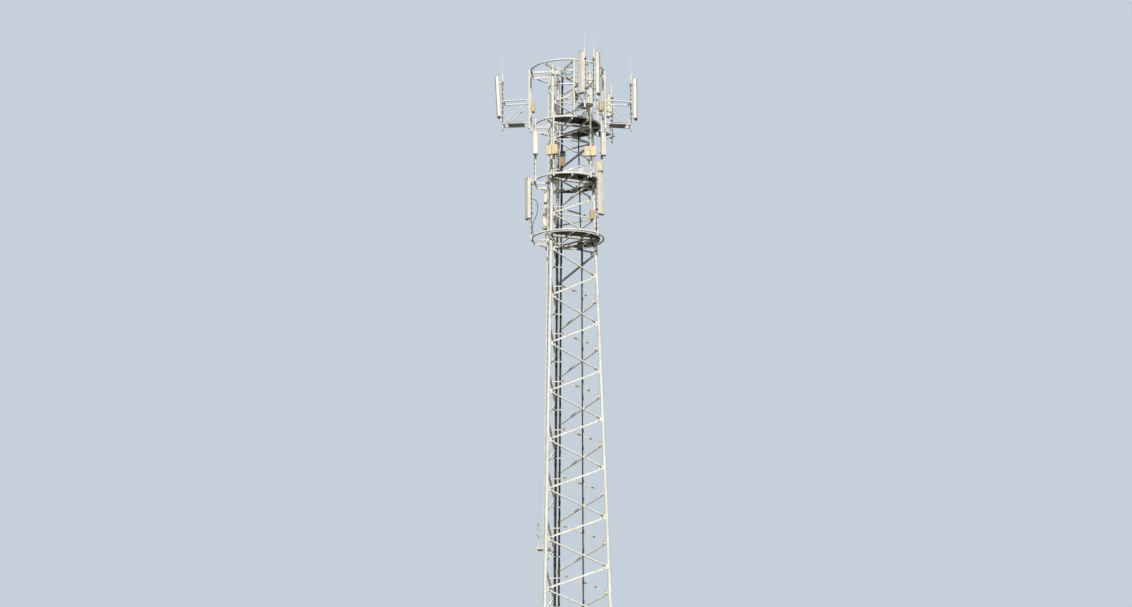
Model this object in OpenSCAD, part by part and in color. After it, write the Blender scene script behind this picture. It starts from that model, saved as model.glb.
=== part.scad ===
// Self-supporting triangular lattice tower for mobile-phone antennas: three tubular legs,
// angle bracing bolted on gussets, and a head of four ring levels with antennas.
// Lengths are millimetres, +Z is up, and the origin is the underside of the left foot.

/* [Tower] */
// Height of the leg tops above the base plates' underside
tower_h = 35000; // [34800:50:35400]
// Height of the slimmer head, from the waist to the leg tops
head_h = 8000; // [7980:1:8000]
// Distance between leg axes at the ground
base_side = 3500; // [3300:50:3700]
// Distance between leg axes at the waist
waist_side = 2000; // [1950:25:2050]
// Distance between leg axes at the top
top_side = 1680; // [1640:20:1720]
// Angle of the right leg, seen from above, from the +X axis
right_leg_angle = -7.3; // [-12:0.1:-2]
// Outside diameter of a leg tube
leg_d = 140; // [130:2:150]

/* [Feet] */
// Diameter of a round base plate
foot_d = 480; // [440:10:540]
// Thickness of a base plate
foot_t = 30; // [20:1:40]
// Diameter of the anchor bolt circle
foot_pcd = 380; // [360:5:390]
// Number of anchor bolts in a base plate
foot_bolts = 8; // [6:2:8]
// Diameter of an anchor bolt hole
foot_hole_d = 33; // [24:1:36]
// Height of the stiffening ribs over a base plate
foot_rib_h = 180; // [120:10:200]
// Thickness of a stiffening rib
foot_rib_t = 14; // [10:1:18]

/* [Bracing] */
// Height between two bracing nodes of one face, on alternate legs
panel_h = 1000; // [960:10:1040]
// Height of the lowest bracing node
lowest_node_z = 330; // [300:5:400]
// Width of a bracing angle's flanges
brace_w = 70; // [60:1:75]
// Thickness of a bracing angle
brace_t = 7; // [5:0.5:9]
// Height between two bracing nodes in the head
head_panel_h = 815; // [810:1:820]
// Height of the first bracing node above the waist, over the waist
head_first_node = 700; // [690:5:710]
// Flange width of the thin level struts in the head
strut_w = 50; // [40:1:55]
// Thickness of the level struts
strut_t = 5; // [4:0.5:6]
// Length of a gusset plate from the leg's axis
gusset_l = 265; // [255:5:290]
// Thickness of a gusset plate
gusset_t = 12; // [8:1:14]
// Gap between a bracing angle's end and the working point on the leg's axis
brace_end = 155; // [150:1:165]

/* [Climbing ladder] */
// Distance between the ladder's stiles, centre to centre
ladder_w = 400; // [360:10:440]
// Distance from the face of the tower to the ladder's stiles
ladder_off = 235; // [220:5:260]
// Depth of a stile, measured out of the face
stile_w = 40; // [36:1:46]
// Thickness of a stile
stile_t = 10; // [8:1:14]
// Distance between rungs
rung_pitch = 300; // [280:5:320]
// Diameter of a rung
rung_d = 24; // [20:1:30]
// Height of the ladder's foot above the ground
ladder_foot_z = 350; // [300:10:450]
// Side of the square stubs that hold the ladder
stub_w = 30; // [24:1:34]

/* [Rest platform] */
// Height of the rest platform's floor
rest_z = 14900; // [14860:10:14940]
// Width of the rest platform beside the ladder
rest_w = 600; // [560:10:640]
// Depth of the rest platform, measured out of the face
rest_d = 400; // [360:10:440]
// Height of the rest platform's guard rail
guard_h = 1000; // [950:10:1050]
// Diameter of the guard rail's tubes
guard_d = 34; // [30:1:42]

/* [Cable runs] */
// Width of the cable ladder, which stands square to the left face inside the tower
tray_w = 260; // [250:2:280]
// Distance from the left face to the cable ladder's near edge in the head
tray_in = 100; // [90:5:120]
// Distance from the left face to the cable ladder's near edge at the ground
tray_in_foot = 240; // [200:5:280]
// Shift of the cable ladder from the middle of the left face to the left leg
tray_shift = 200; // [170:5:230]
// Depth of the cable ladder's side rails
tray_d = 40; // [34:1:46]
// Diameter of a feeder cable
feeder_d = 28; // [24:1:28.5]
// Diameter of a free-hanging jumper cable
jumper_d = 26; // [20:1:28]
// Width of the slim cable rail on the rear face
rail_w = 60; // [58:1:66]
// Distance between the clips of the slim cable rail
clip_pitch = 1000; // [950:10:1050]
// Shift of the slim cable rail's top from the middle of its face
rail_top_shift = 312; // [300:4:328]
// Shift of the slim cable rail's foot from the middle of its face
rail_foot_shift = -100; // [-140:10:-60]

/* [Rings] */
// Height between two ring levels
level_h = 2450; // [2450:1:2456]
// Radius of the top ring
ring_top_r = 1520; // [1500:5:1540]
// Radius of the two rings of the middle and upper platforms
ring_mid_r = 1385; // [1375:5:1400]
// Radius of the lowest ring
ring_low_r = 1490; // [1480:5:1510]
// Diameter of the ring tubes
ring_d = 76; // [70:1:82]
// Depth of the platform beams
beam_h = 90; // [84:1:94]
// Width of the platform beams
beam_w = 50; // [44:1:54]
// Wall of the collars that clamp the beams to the legs
collar_t = 14; // [10:1:18]
// Distance of the outer beams from the middle of a face
spoke_shift = 350; // [330:5:370]
// Thickness of the deck gratings
deck_t = 30; // [25:1:34]
// Height of the toe boards at the deck edges
toe_h = 110; // [90:5:130]

/* [Outriggers] */
// Radius at which the outer antenna poles stand
outer_r = 2750; // [2700:10:2800]
// Height of the outriggers' lower chords over the upper platform's ring
chord_low_rise = 180; // [150:5:200]
// Height between the outriggers' lower and upper chords
chord_rise = 1000; // [960:10:1040]
// Distance between an outrigger's two side frames
outrigger_w = 500; // [460:10:540]
// Diameter of the outriggers' posts
post_d = 88; // [80:1:94]
// Diameter of the outriggers' chord tubes
chord_d = 60; // [50:1:64]
// Diameter of the outriggers' diagonals
diagonal_d = 42; // [34:1:48]
// Diameter of an antenna pole
pole_d = 84; // [78:1:90]
// Height of the outer poles' tops over the leg tops
pole_rise = 50; // [20:10:100]
// Length of the lightning rods on the poles
rod_h = 850; // [700:10:950]
// Diameter of the lightning rods
rod_d = 16; // [12:1:20]

/* [Antennas] */
// Height of an outer antenna
antenna_h = 1820; // [1760:10:1860]
// Width of an outer antenna
antenna_w = 300; // [270:5:320]
// Depth of an antenna
antenna_d = 140; // [120:5:150]
// Height of an antenna of the middle level
short_h = 1050; // [1000:10:1100]
// Width of an antenna of the middle level
short_w = 210; // [190:5:230]
// Lean of the left antenna
left_lean = 3.8; // [3:0.1:4.4]
// Height of a remote radio unit
radio_h = 410; // [380:5:430]
// Width of a remote radio unit
radio_w = 240; // [220:5:250]
// Depth of a remote radio unit
radio_d = 150; // [130:5:165]

/* [Hidden] */
steel = "#c9c7bd";
shaded_steel = "#a9aca8";
radome = "#ece6d6";
unit_paint = "#cdb894";
cable_black = "#1d1d20";
round_fn = 48;
seat = 0.3;                                  // running gap between curved faces that meet
leg_angles = [for (k = [2, 0, 1]) right_leg_angle + 120 * k];   // left, right, rear
leg_r = leg_d / 2;
ring_r = ring_d / 2;
pole_r = pole_d / 2;
gusset_end_h = 130;
gusset_leg_h = 78;
waist_z = tower_h - head_h;
ring_high_z = tower_h - level_h;             // the levels are counted down from the top ring
ring_mid_z = ring_high_z - level_h;
ring_low_z = ring_mid_z - level_h;
left_turn = 173.7;                           // directions of the four outriggers
right_turn = 10.2;
front_turn = -70.7;
rear_turn = 46;
front_pole_shift = 200;                      // the front outrigger carries a pole at each side
splice_h = 180;                              // sleeve that joins the two tubes of a leg
splice_t = 6;
splice_gap = 10;

function unit(v) = v / norm(v);
function mix(a, b, t) = a + (b - a) * t;
function side_at(z) = z < waist_z
    ? mix(base_side, waist_side, z / waist_z)
    : mix(waist_side, top_side, (z - waist_z) / (tower_h - waist_z));
function polar(r, a, z = 0) = [r * cos(a), r * sin(a), z];
function leg_point(i, z) = polar(side_at(z) / sqrt(3), leg_angles[i], z);

// A face lies between leg i and leg i + 1; its outward normal leans up with the taper.
function face_lean(head) = head
    ? (waist_side - top_side) / (tower_h - waist_z) / (2 * sqrt(3))
    : (base_side - waist_side) / waist_z / (2 * sqrt(3));
function face_normal(f, head) = unit(polar(1, leg_angles[f] + 60, face_lean(head)));
function face_point(f, z, u, w = 0) =
    leg_point(f, z) + u * unit(leg_point((f + 1) % 3, z) - leg_point(f, z))
    + w * face_normal(f, z >= waist_z);
function face_middle(f, z, shift = 0, w = 0) = face_point(f, z, side_at(z) / 2 + shift, w);

// Bracing nodes of one face from the ground up, as [height, 0 for its first leg or 1].
panels = floor((waist_z - lowest_node_z - panel_h / 2) / panel_h);
top_node_z = tower_h - 300;
head_panels = floor((top_node_z - waist_z - head_first_node - head_panel_h / 4) / head_panel_h);
lower_nodes = [
    [lowest_node_z, (panels + 1) % 2],
    for (k = [panels : -1 : 0]) [waist_z - k * panel_h, k % 2]
];
head_nodes = [
    [waist_z, 0],
    for (k = [0 : head_panels]) [waist_z + head_first_node + k * head_panel_h, (k + 1) % 2],
    [top_node_z, head_panels % 2]
];
strut_levels = [for (k = [1, 5, 7]) waist_z + head_first_node + k * head_panel_h];

module from_axis() {
    translate(-leg_point(0, 0)) children();
}

// Places children with local X, Y and Z along the given directions.
module placed(x, y, z, p) {
    multmatrix([
        [x.x, y.x, z.x, p.x],
        [x.y, y.y, z.y, p.y],
        [x.z, y.z, z.z, p.z],
        [0, 0, 0, 1]
    ]) children();
}

// Extrudes a flat profile from p to q; its local X points along n.
module run(p, q, n, a = 0, b = 0) {
    d = unit(q - p);
    flat = unit(n - (n * d) * d);
    placed(flat, cross(d, flat), d, p + a * d)
        linear_extrude(norm(q - p) - a - b) children();
}

module rod(p, q, d, a = 0, b = 0, fn = round_fn) {
    across = abs(unit(q - p).z) > 0.9 ? [1, 0, 0] : [0, 0, 1];
    run(p, q, across, a, b) circle(d = d, $fn = fn);
}

// Frame of a leg at height z: X outward, Z along the leg's tube.
module on_leg(i, z, from_z, to_z) {
    axis = unit(leg_point(i, to_z) - leg_point(i, from_z));
    out = polar(1, leg_angles[i]);
    flat = unit(out - (out * axis) * axis);
    placed(flat, cross(axis, flat), axis, leg_point(i, z)) children();
}

// Frame of a face: X along the face from its first leg, Y up the face, Z outward.
module on_face(f, z, u, head) {
    along = unit(leg_point((f + 1) % 3, z) - leg_point(f, z));
    n = face_normal(f, head);
    placed(along, cross(n, along), n, face_point(f, z, u)) children();
}

// A leg's tube is cut level at the base plate and at the top, and spliced at the waist.
module leg_bar(i) {
    intersection() {
        on_leg(i, 0, 0, waist_z) translate([0, 0, -200])
            cylinder(d = leg_d, h = waist_z + 400, $fn = round_fn);
        translate([-4000, -4000, foot_t]) cube([8000, 8000, waist_z - foot_t - splice_gap]);
    }
    intersection() {
        on_leg(i, waist_z, waist_z, tower_h) translate([0, 0, -200])
            cylinder(d = leg_d, h = tower_h - waist_z + 400, $fn = round_fn);
        translate([-4000, -4000, waist_z + splice_gap])
            cube([8000, 8000, tower_h - waist_z - splice_gap]);
    }
    on_leg(i, waist_z, waist_z, tower_h)
        cylinder(d = leg_d + 2 * splice_t, h = splice_h, center = true, $fn = round_fn);
}

module gusset_plate(f, node_at, head) {
    end = node_at[1];
    z = node_at[0];
    on_face(f, z, end * side_at(z), head) mirror([end, 0, 0])
        linear_extrude(gusset_t, center = true)
            polygon([
                [0, -gusset_leg_h], [leg_r + 10, -gusset_leg_h], [gusset_l, -gusset_end_h],
                [gusset_l, gusset_end_h], [leg_r + 10, gusset_leg_h], [0, gusset_leg_h]
            ]);
}

module strut_tab(f, z) {
    on_face(f, z, side_at(z), true)
        translate([-gusset_l + 30, -strut_w / 2 - 15, -gusset_t / 2])
            cube([gusset_l - 30, strut_w + 30, gusset_t]);
}

// A leg's tube with the gussets that are welded to it, for the faces on both its sides.
module leg(i) {
    color(steel) from_axis() {
        leg_bar(i);
        for (n = lower_nodes) {
            if (n[1] == 0 && n[0] < waist_z) gusset_plate(i, n, false);
            if (n[1] == 1) gusset_plate((i + 2) % 3, n, false);
        }
        for (n = head_nodes) {
            if (n[1] == 0) gusset_plate(i, n, true);
            if (n[1] == 1) gusset_plate((i + 2) % 3, n, true);
        }
        for (z = strut_levels) strut_tab((i + 2) % 3, z);
    }
}

module foot(i) {
    color(steel) from_axis() translate(leg_point(i, 0)) {
        difference() {
            cylinder(d = foot_d, h = foot_t, $fn = round_fn);
            for (k = [0 : foot_bolts - 1])
                rotate(leg_angles[i] + (k + 0.5) * 360 / foot_bolts)
                    translate([foot_pcd / 2, 0, -1])
                        cylinder(d = foot_hole_d, h = foot_t + 2, $fn = round_fn);
        }
        difference() {
            for (k = [0 : foot_bolts / 2 - 1])
                rotate(leg_angles[i] + k * 720 / foot_bolts)
                    translate([0, foot_rib_t / 2, foot_t]) rotate([90, 0, 0])
                        linear_extrude(foot_rib_t)
                            polygon([
                                [0, 0], [foot_d / 2 - 10, 0], [foot_d / 2 - 10, 25],
                                [leg_r + 25, foot_rib_h], [0, foot_rib_h]
                            ]);
            translate(-leg_point(i, 0)) on_leg(i, 0, 0, waist_z) translate([0, 0, -200])
                cylinder(d = leg_d + 2 * seat, h = 1000, $fn = round_fn);
        }
    }
}

// Angle section: one flange on the gusset, the other standing out along the lower edge.
module angle_section(w, t) {
    translate([gusset_t / 2, 0])
        polygon([
            [0, -w / 2], [t, -w / 2], [t, w / 2 - t], [w, w / 2 - t], [w, w / 2], [0, w / 2]
        ]);
}

module zigzag(f, nodes, head) {
    for (k = [0 : len(nodes) - 2]) {
        first = nodes[k][1] == 0 ? nodes[k] : nodes[k + 1];
        last = nodes[k][1] == 0 ? nodes[k + 1] : nodes[k];
        run(leg_point(f, first[0]), leg_point((f + 1) % 3, last[0]), face_normal(f, head),
            brace_end, brace_end)
            angle_section(brace_w, brace_t);
    }
}

module bracing(f) {
    color(steel) from_axis() {
        zigzag(f, lower_nodes, false);
        zigzag(f, head_nodes, true);
        for (z = strut_levels)
            run(leg_point(f, z), leg_point((f + 1) % 3, z), face_normal(f, true),
                gusset_l - 40, brace_end)
                angle_section(strut_w, strut_t);
    }
}

// The ladder and its brackets stand on the left face, between the rear and the left leg.
left_face = 2;
ladder_top_z = tower_h - 60;

function ladder_point(z, shift, w) =
    face_middle(left_face, z, shift, ladder_off + w);

module stile(shift) {
    for (part = [[ladder_foot_z, waist_z], [waist_z, ladder_top_z]])
        run(ladder_point(part[0], shift, stile_w / 2), ladder_point(part[1] + 1, shift, stile_w / 2),
            face_normal(left_face, part[0] >= waist_z))
            square([stile_w, stile_t], center = true);
}

module climbing_ladder() {
    color(steel) from_axis() {
        for (side = [-1, 1]) stile(side * ladder_w / 2);
        for (z = [ladder_foot_z + 150 : rung_pitch : ladder_top_z - 100])
            rod(ladder_point(z, -ladder_w / 2, stile_w / 2),
                ladder_point(z, ladder_w / 2, stile_w / 2), rung_d, fn = 8);
    }
}

// Height of the diagonal between two nodes where it passes the given shift from mid-face.
function diagonal_z(a, b, shift) =
    let (way = shift / side_at((a[0] + b[0]) / 2))
    mix(a[0], b[0], a[1] == 0 ? 0.5 + way : 0.5 - way);

module ladder_stubs(nodes, head, step) {
    for (k = [1 : step : len(nodes) - 2])
        for (side = [-1, 1]) {
            shift = side * ladder_w / 2;
            z = diagonal_z(nodes[k], nodes[k + 1], shift) + 6;
            on_face(left_face, z, side_at(z) / 2 + shift, head)
                translate([-stub_w / 2, -stub_w / 2, gusset_t / 2 + brace_t])
                    cube([stub_w, stub_w, ladder_off - gusset_t / 2 - brace_t]);
        }
}

module ladder_brackets() {
    color(steel) from_axis() {
        ladder_stubs(lower_nodes, false, 3);
        ladder_stubs(head_nodes, true, 3);
    }
}

// Rest platform beside the ladder: a beam clamped to the rear leg carries two arms.
rest_beam_w = 50;
rest_beam_h = 70;
rest_beam_off = 105;
rest_edge = ladder_w / 2 + 40;
guard_r = guard_d / 2;

module collar(i, z, to_z, h) {
    difference() {
        on_leg(i, z, z, to_z) cylinder(r = leg_r + seat + collar_t, h = h, center = true, $fn = round_fn);
        leg_hole(i, z, to_z);
    }
}

module leg_hole(i, z, to_z) {
    on_leg(i, z, z, to_z) cylinder(r = leg_r + seat, h = 1000, center = true, $fn = round_fn);
}

// Frame of the left face at a height: X from the rear leg to the left leg, Y up, Z outward,
// with its zero in the middle of the face.
module at_ladder_face(z) {
    on_face(left_face, z, side_at(z) / 2, z >= waist_z) children();
}

module rest_platform_floor() {
    beam_z = rest_z - deck_t - rest_beam_h / 2;
    half = side_at(beam_z) / 2;
    color(steel) from_axis() difference() {
        union() {
            collar(2, beam_z, waist_z, rest_beam_h);
            at_ladder_face(beam_z) {
                translate([-half - 30, -rest_beam_h / 2, 0])
                    cube([60, rest_beam_h, rest_beam_off + rest_beam_w]);
                translate([-half - 30, -rest_beam_h / 2, rest_beam_off])
                    cube([half + 30 - rest_edge + 60, rest_beam_h, rest_beam_w]);
                translate([-ladder_w / 2 - 15, -rest_beam_h / 2, rest_beam_off])
                    cube([30, rest_beam_h, ladder_off - rest_beam_off]);
                for (x = [-rest_edge - rest_w, -rest_edge - rest_beam_w])
                    translate([x, -rest_beam_h / 2, rest_beam_off])
                        cube([rest_beam_w, rest_beam_h, ladder_off + rest_d - rest_beam_off]);
                translate([-ladder_w / 2 - 15 - 60, -rest_beam_h / 2, rest_beam_off])
                    cube([90, rest_beam_h, rest_beam_w]);
                translate([-rest_edge - rest_w, rest_beam_h / 2, rest_beam_off])
                    cube([rest_w, deck_t, ladder_off + rest_d - rest_beam_off]);
            }
        }
        leg_hole(2, beam_z, waist_z);
    }
}

module rest_platform_rail() {
    inner = ladder_off + 40;
    outer = ladder_off + rest_d - guard_r - 5;
    near_x = -rest_edge - guard_r - 5;
    far_x = -rest_edge - rest_w + guard_r + 5;
    color(steel) from_axis() at_ladder_face(rest_z - deck_t - rest_beam_h / 2)
        translate([0, rest_beam_h / 2 + deck_t, 0]) {
            for (p = [[near_x, outer], [far_x, outer], [far_x, inner]])
                translate([p[0], 0, p[1]]) rotate([-90, 0, 0])
                    cylinder(d = guard_d, h = guard_h, $fn = round_fn);
            for (y = [guard_h / 2, guard_h - guard_r]) {
                translate([far_x, y, outer]) rotate([0, 90, 0])
                    cylinder(d = guard_d, h = near_x - far_x, $fn = round_fn);
                translate([far_x, y, inner]) cylinder(d = guard_d, h = outer - inner, $fn = round_fn);
            }
        }
}

// The cable ladder stands inside the tower, square to the left face, on arms that are bolted
// to that face's diagonals and serve as its rungs.
tray_foot_z = 450;
tray_top_z = tower_h - 160;
tray_rail_t = 6;
arm_deep = 20;
arm_tall = 40;
cables_a_side = 3;                           // cables at each of the ladder's rails
short_cables = 2;                            // of the near ones, these end over the lowest ring
short_cable_rise = 650;
cable_end_drop = 250;

function tray_inset(z) = z < waist_z ? mix(tray_in_foot, tray_in, z / waist_z) : tray_in;
function tray_point(z, s, deep = 0) =
    face_middle(left_face, z, tray_shift + deep, -tray_inset(z) - s);

module along_tray(s, deep, foot_z, top_z, end_gap) {
    for (part = [[foot_z, waist_z], [waist_z, top_z]])
        run(tray_point(part[0], s, deep), tray_point(part[1], s, deep),
            face_normal(left_face, part[0] >= waist_z), 0, part[0] < waist_z ? end_gap : 0)
            children();
}

module tray_arms(nodes) {
    for (k = [0 : len(nodes) - 2]) {
        z = diagonal_z(nodes[k], nodes[k + 1], tray_shift);
        deep = (tray_d - arm_deep) / 2;
        if (z > tray_foot_z + arm_tall && z < tray_top_z - arm_tall)
            run(face_middle(left_face, z, tray_shift + deep, gusset_t / 2),
                tray_point(z, tray_w - 1, deep), [0, 0, 1])
                square([arm_tall, arm_deep], center = true);
    }
}

module cable_ladder() {
    color(steel) from_axis() {
        for (s = [tray_rail_t / 2, tray_w - tray_rail_t / 2])
            along_tray(s, 0, tray_foot_z, tray_top_z, -1) square([tray_rail_t, tray_d], center = true);
        tray_arms(lower_nodes);
        tray_arms(head_nodes);
    }
}

feeder_step = feeder_d + seat;
feeder_first = tray_rail_t + seat + feeder_d / 2;
feeder_deep = tray_d / 2 - arm_deep - seat - feeder_d / 2;
feeder_top_z = tray_top_z - cable_end_drop;
function far_feeder(k) = tray_w - feeder_first - k * feeder_step;

module feeder(s, top_z) {
    along_tray(s, feeder_deep, tray_foot_z + 30, top_z, seat) circle(d = feeder_d, $fn = 16);
}

module feeder_cables() {
    color(cable_black) from_axis()
        for (k = [0 : cables_a_side - 1]) {
            feeder(feeder_first + k * feeder_step,
                k < short_cables ? ring_low_z + short_cable_rise : feeder_top_z);
            feeder(far_feeder(k), feeder_top_z);
        }
}

// The slim cable rail stands a little off the upright and ends at a box below the lowest ring.
// From the box two cables climb on through the head, clamped to the ring frames.
rear_face = 1;
inner_plane = -gusset_t / 2;
rail_foot_z = 450;
rail_over_waist = 270;
rail_t = 5;
rail_deep = 40;
clip_h = 30;
clip_t = 6;

riser_shift = [290, 242];                    // at the box and at the upper ring
riser_w = -73;                               // behind the ring frames' inner face
clamp_size = [90, 40, 34];
box_size = [230, 300, 110];                  // width, height, depth
box_bar = [26, 8];
box_bar_over = 320;

function rail_point(z, s, w) = face_middle(rear_face, z - 0.001,
    s - mix(rail_foot_shift, rail_top_shift, z / waist_z), w);

module along_rail(s, w, foot_z = rail_foot_z, over = rail_over_waist) {
    run(rail_point(foot_z, s, w), rail_point(waist_z, s, w), face_normal(rear_face, false), 0, -over)
        children();
}

module cable_rail() {
    color(steel) from_axis() {
        along_rail(0, -inner_plane - rail_deep / 2) difference() {
            square([rail_deep, rail_w], center = true);
            translate([-rail_t, 0]) square([rail_deep, rail_w - 2 * rail_t], center = true);
        }
        for (z = [rail_foot_z + 300 : clip_pitch : waist_z + rail_over_waist - 200])
            placed(
                unit(rail_point(z, 1, 0) - rail_point(z, 0, 0)),
                cross(face_normal(rear_face, false), unit(rail_point(z, 1, 0) - rail_point(z, 0, 0))),
                face_normal(rear_face, false),
                rail_point(min(z, waist_z), 0, -inner_plane - rail_deep)
                    + (z - min(z, waist_z)) * unit(rail_point(waist_z, 0, 0) - rail_point(0, 0, 0)))
                translate([-rail_w / 2, -clip_h / 2, -clip_t]) cube([rail_w, clip_h, clip_t + 1]);
        riser_clamps();
        box_bars();
    }
}

module rail_cables() {
    color(cable_black) from_axis() {
        for (k = [0, 1])
            along_rail((k - 0.5) * feeder_step,
                -inner_plane - rail_deep - clip_t - seat - feeder_d / 2,
                rail_foot_z + 60, rail_over_waist - 1)
                circle(d = feeder_d, $fn = 16);
        risers(feeder_d, box_top_z);
    }
}

// Ring levels. Beams on collars carry each ring tube, and gratings lie on the beams.
beam_in = 38;
header_inner = -1.5 * beam_in;

function beam_z(ring_z) = ring_z - ring_r - seat - beam_h / 2;
function apothem(z) = side_at(z) / (2 * sqrt(3));

box_base_z = waist_z + rail_over_waist + 2;
box_top_z = box_base_z + box_size.y;
riser_top_z = beam_z(ring_high_z) + beam_h / 2;

function riser_point(z, s) = face_middle(rear_face, z,
    s - mix(riser_shift[0], riser_shift[1], (z - box_top_z) / (riser_top_z - box_top_z)), riser_w);

module risers(d, from_z) {
    for (k = [0, 1]) {
        s = (k - 0.5) * feeder_step;
        run(riser_point(from_z, s), riser_point(riser_top_z, s), face_normal(rear_face, true))
            circle(d = d, $fn = 16);
    }
}

// Frame of a ring frame's header at the risers: X along the face, Y up, Z outward and level.
module at_riser(z) {
    along = unit(riser_point(z, 1) - riser_point(z, 0));
    placed(along, [0, 0, 1], cross(along, [0, 0, 1]), riser_point(z, 0)) children();
}

module riser_clamps() {
    difference() {
        for (ring_z = [ring_mid_z, ring_high_z]) at_riser(beam_z(ring_z))
            translate([-clamp_size.x / 2, -clamp_size.y / 2, header_inner - riser_w - clamp_size.z])
                cube([clamp_size.x, clamp_size.y, clamp_size.z]);
        risers(feeder_d + 2 * seat, box_top_z);
    }
}

// The box hangs from the lowest ring's frame on two flat bars.
module at_box() {
    header_z = beam_z(ring_low_z);
    at_riser(header_z) translate([0, box_base_z - header_z, header_inner - riser_w]) children();
}

module box_bars() {
    at_box() for (side = [-1, 1])
        translate([side * (box_size.x + box_bar.x) / 2 - box_bar.x / 2, 0, -box_bar.y])
            cube([box_bar.x, box_bar_over, box_bar.y]);
}

module ring(ring_z, radius) {
    color(steel) from_axis() translate([0, 0, ring_z])
        rotate_extrude($fn = 96) translate([radius, 0]) circle(d = ring_d, $fn = round_fn);
}

// Turns a face's middle to +X and puts a beam along X there.
module face_turn(f) {
    rotate(leg_angles[f] + 60) children();
}

module radial_beam(from_x, to_x, y, z) {
    translate([from_x, y - beam_w / 2 + 5, z - beam_h / 2]) cube([to_x - from_x, beam_w - 10, beam_h]);
}

module ring_frame(ring_z, radius) {
    z = beam_z(ring_z);
    half = side_at(z) / 2;
    tip = radius + ring_r;
    color(steel) from_axis() difference() {
        union() {
            for (i = [0 : 2]) {
                collar(i, z, tower_h, beam_h);
                rotate(leg_angles[i]) radial_beam(side_at(z) / sqrt(3), tip, 0, z);
            }
            for (f = [0 : 2]) {
                reach = half - 20;
                face_turn(f) {
                    translate([apothem(z) - beam_in * 1.5, -reach, z - beam_h / 2])
                        cube([beam_in, 2 * reach, beam_h]);
                    for (y = [-spoke_shift, spoke_shift])
                        radial_beam(apothem(z) - beam_in, sqrt(pow(tip, 2) - pow(y, 2)) - 3, y, z);
                }
            }
        }
        for (i = [0 : 2]) leg_hole(i, z, tower_h);
    }
}

// Outline of a deck: it lies outside the bracing of the front and the rear face, and is open
// inside the tower and at the climbing ladder.
deck_gap = gusset_t / 2 + brace_w + 10;

module outer_side(f, z, w) {
    face_turn(f) translate([apothem(z) + w, -2000]) square([2000, 4000]);
}

module deck_outline(ring_z, radius) {
    difference() {
        intersection() {
            circle(r = radius - ring_r - 4, $fn = 96);
            union() for (f = [0, rear_face]) outer_side(f, ring_z, deck_gap);
        }
        outer_side(left_face, ring_z, inner_plane);
        for (i = [0 : 2]) translate(polar(side_at(ring_z) / sqrt(3), leg_angles[i]))
            circle(r = leg_r + 26, $fn = round_fn);
    }
}

module deck(ring_z, radius) {
    base = beam_z(ring_z) + beam_h / 2;
    color(shaded_steel) from_axis() {
        translate([0, 0, base]) linear_extrude(deck_t) deck_outline(ring_z, radius);
        translate([0, 0, base]) linear_extrude(toe_h) intersection() {
            deck_outline(ring_z, radius);
            difference() {
                circle(r = radius - ring_r - 4, $fn = 96);
                circle(r = radius - ring_r - 12, $fn = 96);
            }
        }
    }
}

// Outriggers: two side frames on posts at the rings, joined by cross tubes at their tips, with
// a short walkway of open grating on the lower chords.
post_r = post_d / 2;
chord_r = chord_d / 2;
chord_low_z = ring_high_z + chord_low_rise;
chord_high_z = chord_low_z + chord_rise;
post_foot = 90;                              // posts reach this far below the ring
post_top = 40;
post_ring_r = ring_top_r + ring_r + seat + post_r;
post_x = sqrt(pow(post_ring_r, 2) - pow(outrigger_w / 2, 2));
tip_x = outer_r - pole_r - seat - chord_r;
walk_from = 250;
walk_to = 170;
walk_bar = [6, 30];
walk_sink = 8;                               // its end bars are let into the chord tubes
walk_pitch = 40;

module walkway() {
    length = tip_x - post_x - walk_from - walk_to;
    bars = floor((outrigger_w - walk_bar.x) / walk_pitch);
    translate([post_x + walk_from, 0, chord_low_z + chord_r - walk_sink]) {
        for (x = [0, length / 2, length])
            translate([x - walk_bar.x, -outrigger_w / 2 - walk_bar.x / 2, 0])
                cube([2 * walk_bar.x, outrigger_w + walk_bar.x, walk_bar.y]);
        for (k = [0 : bars])
            translate([0, mix(-outrigger_w, outrigger_w, k / bars) / 2 - walk_bar.x / 2, 1])
                cube([length, walk_bar.x, walk_bar.y - 2]);
    }
}

module outrigger(turn) {
    color(steel) from_axis() rotate(turn) {
        for (y = [-outrigger_w / 2, outrigger_w / 2]) {
            stub_x = sqrt(pow(ring_mid_r + ring_r + seat, 2) - pow(abs(y) - 20, 2));
            translate([post_x, y, ring_high_z - post_foot])
                cylinder(d = post_d, h = level_h + post_foot + post_top, $fn = round_fn);
            rod([stub_x, y, ring_high_z], [post_x, y, ring_high_z], 40);
            for (z = [chord_low_z, chord_high_z]) rod([post_x, y, z], [tip_x, y, z], chord_d - 4);
            rod([tip_x, y, chord_low_z], [post_x, y, chord_high_z], diagonal_d);
        }
        for (z = [chord_low_z, chord_high_z])
            rod([tip_x, -outrigger_w / 2 - chord_r, z], [tip_x, outrigger_w / 2 + chord_r, z], chord_d);
        walkway();
    }
}

// Antennas and their poles. A spot is [direction of the pole from the axis, its sideways shift,
// direction that the antenna faces, height over the ring below, gap to the pole, height, width].
outer_spots = [
    [left_turn, 0, 187, 535, 30, antenna_h, antenna_w],
    [front_turn, -front_pole_shift, -140, 495, 70, antenna_h, antenna_w],
    [front_turn, front_pole_shift, -15, 520, 70, antenna_h, antenna_w],
    [right_turn, 0, -10, 475, 70, antenna_h, antenna_w],
    [rear_turn, 0, 210, 1070, 55, short_h, short_w]
];
middle_spots = [
    [205, 0, -90, 990, 45, short_h, short_w],
    [-12, 0, -62, 1030, 30, short_h, short_w]
];
lower_spots = [
    [193, 0, 207, 750, 30, 1790, antenna_w],
    [-39, 0, -42, 720, 90, antenna_h, antenna_w],
    [125.5, 0, -90, 750, 55, 870, 310]
];
radio_spots = [[247, 247], [-49, -95]];
middle_pole_r = ring_mid_r + ring_r + seat + pole_r;
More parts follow.
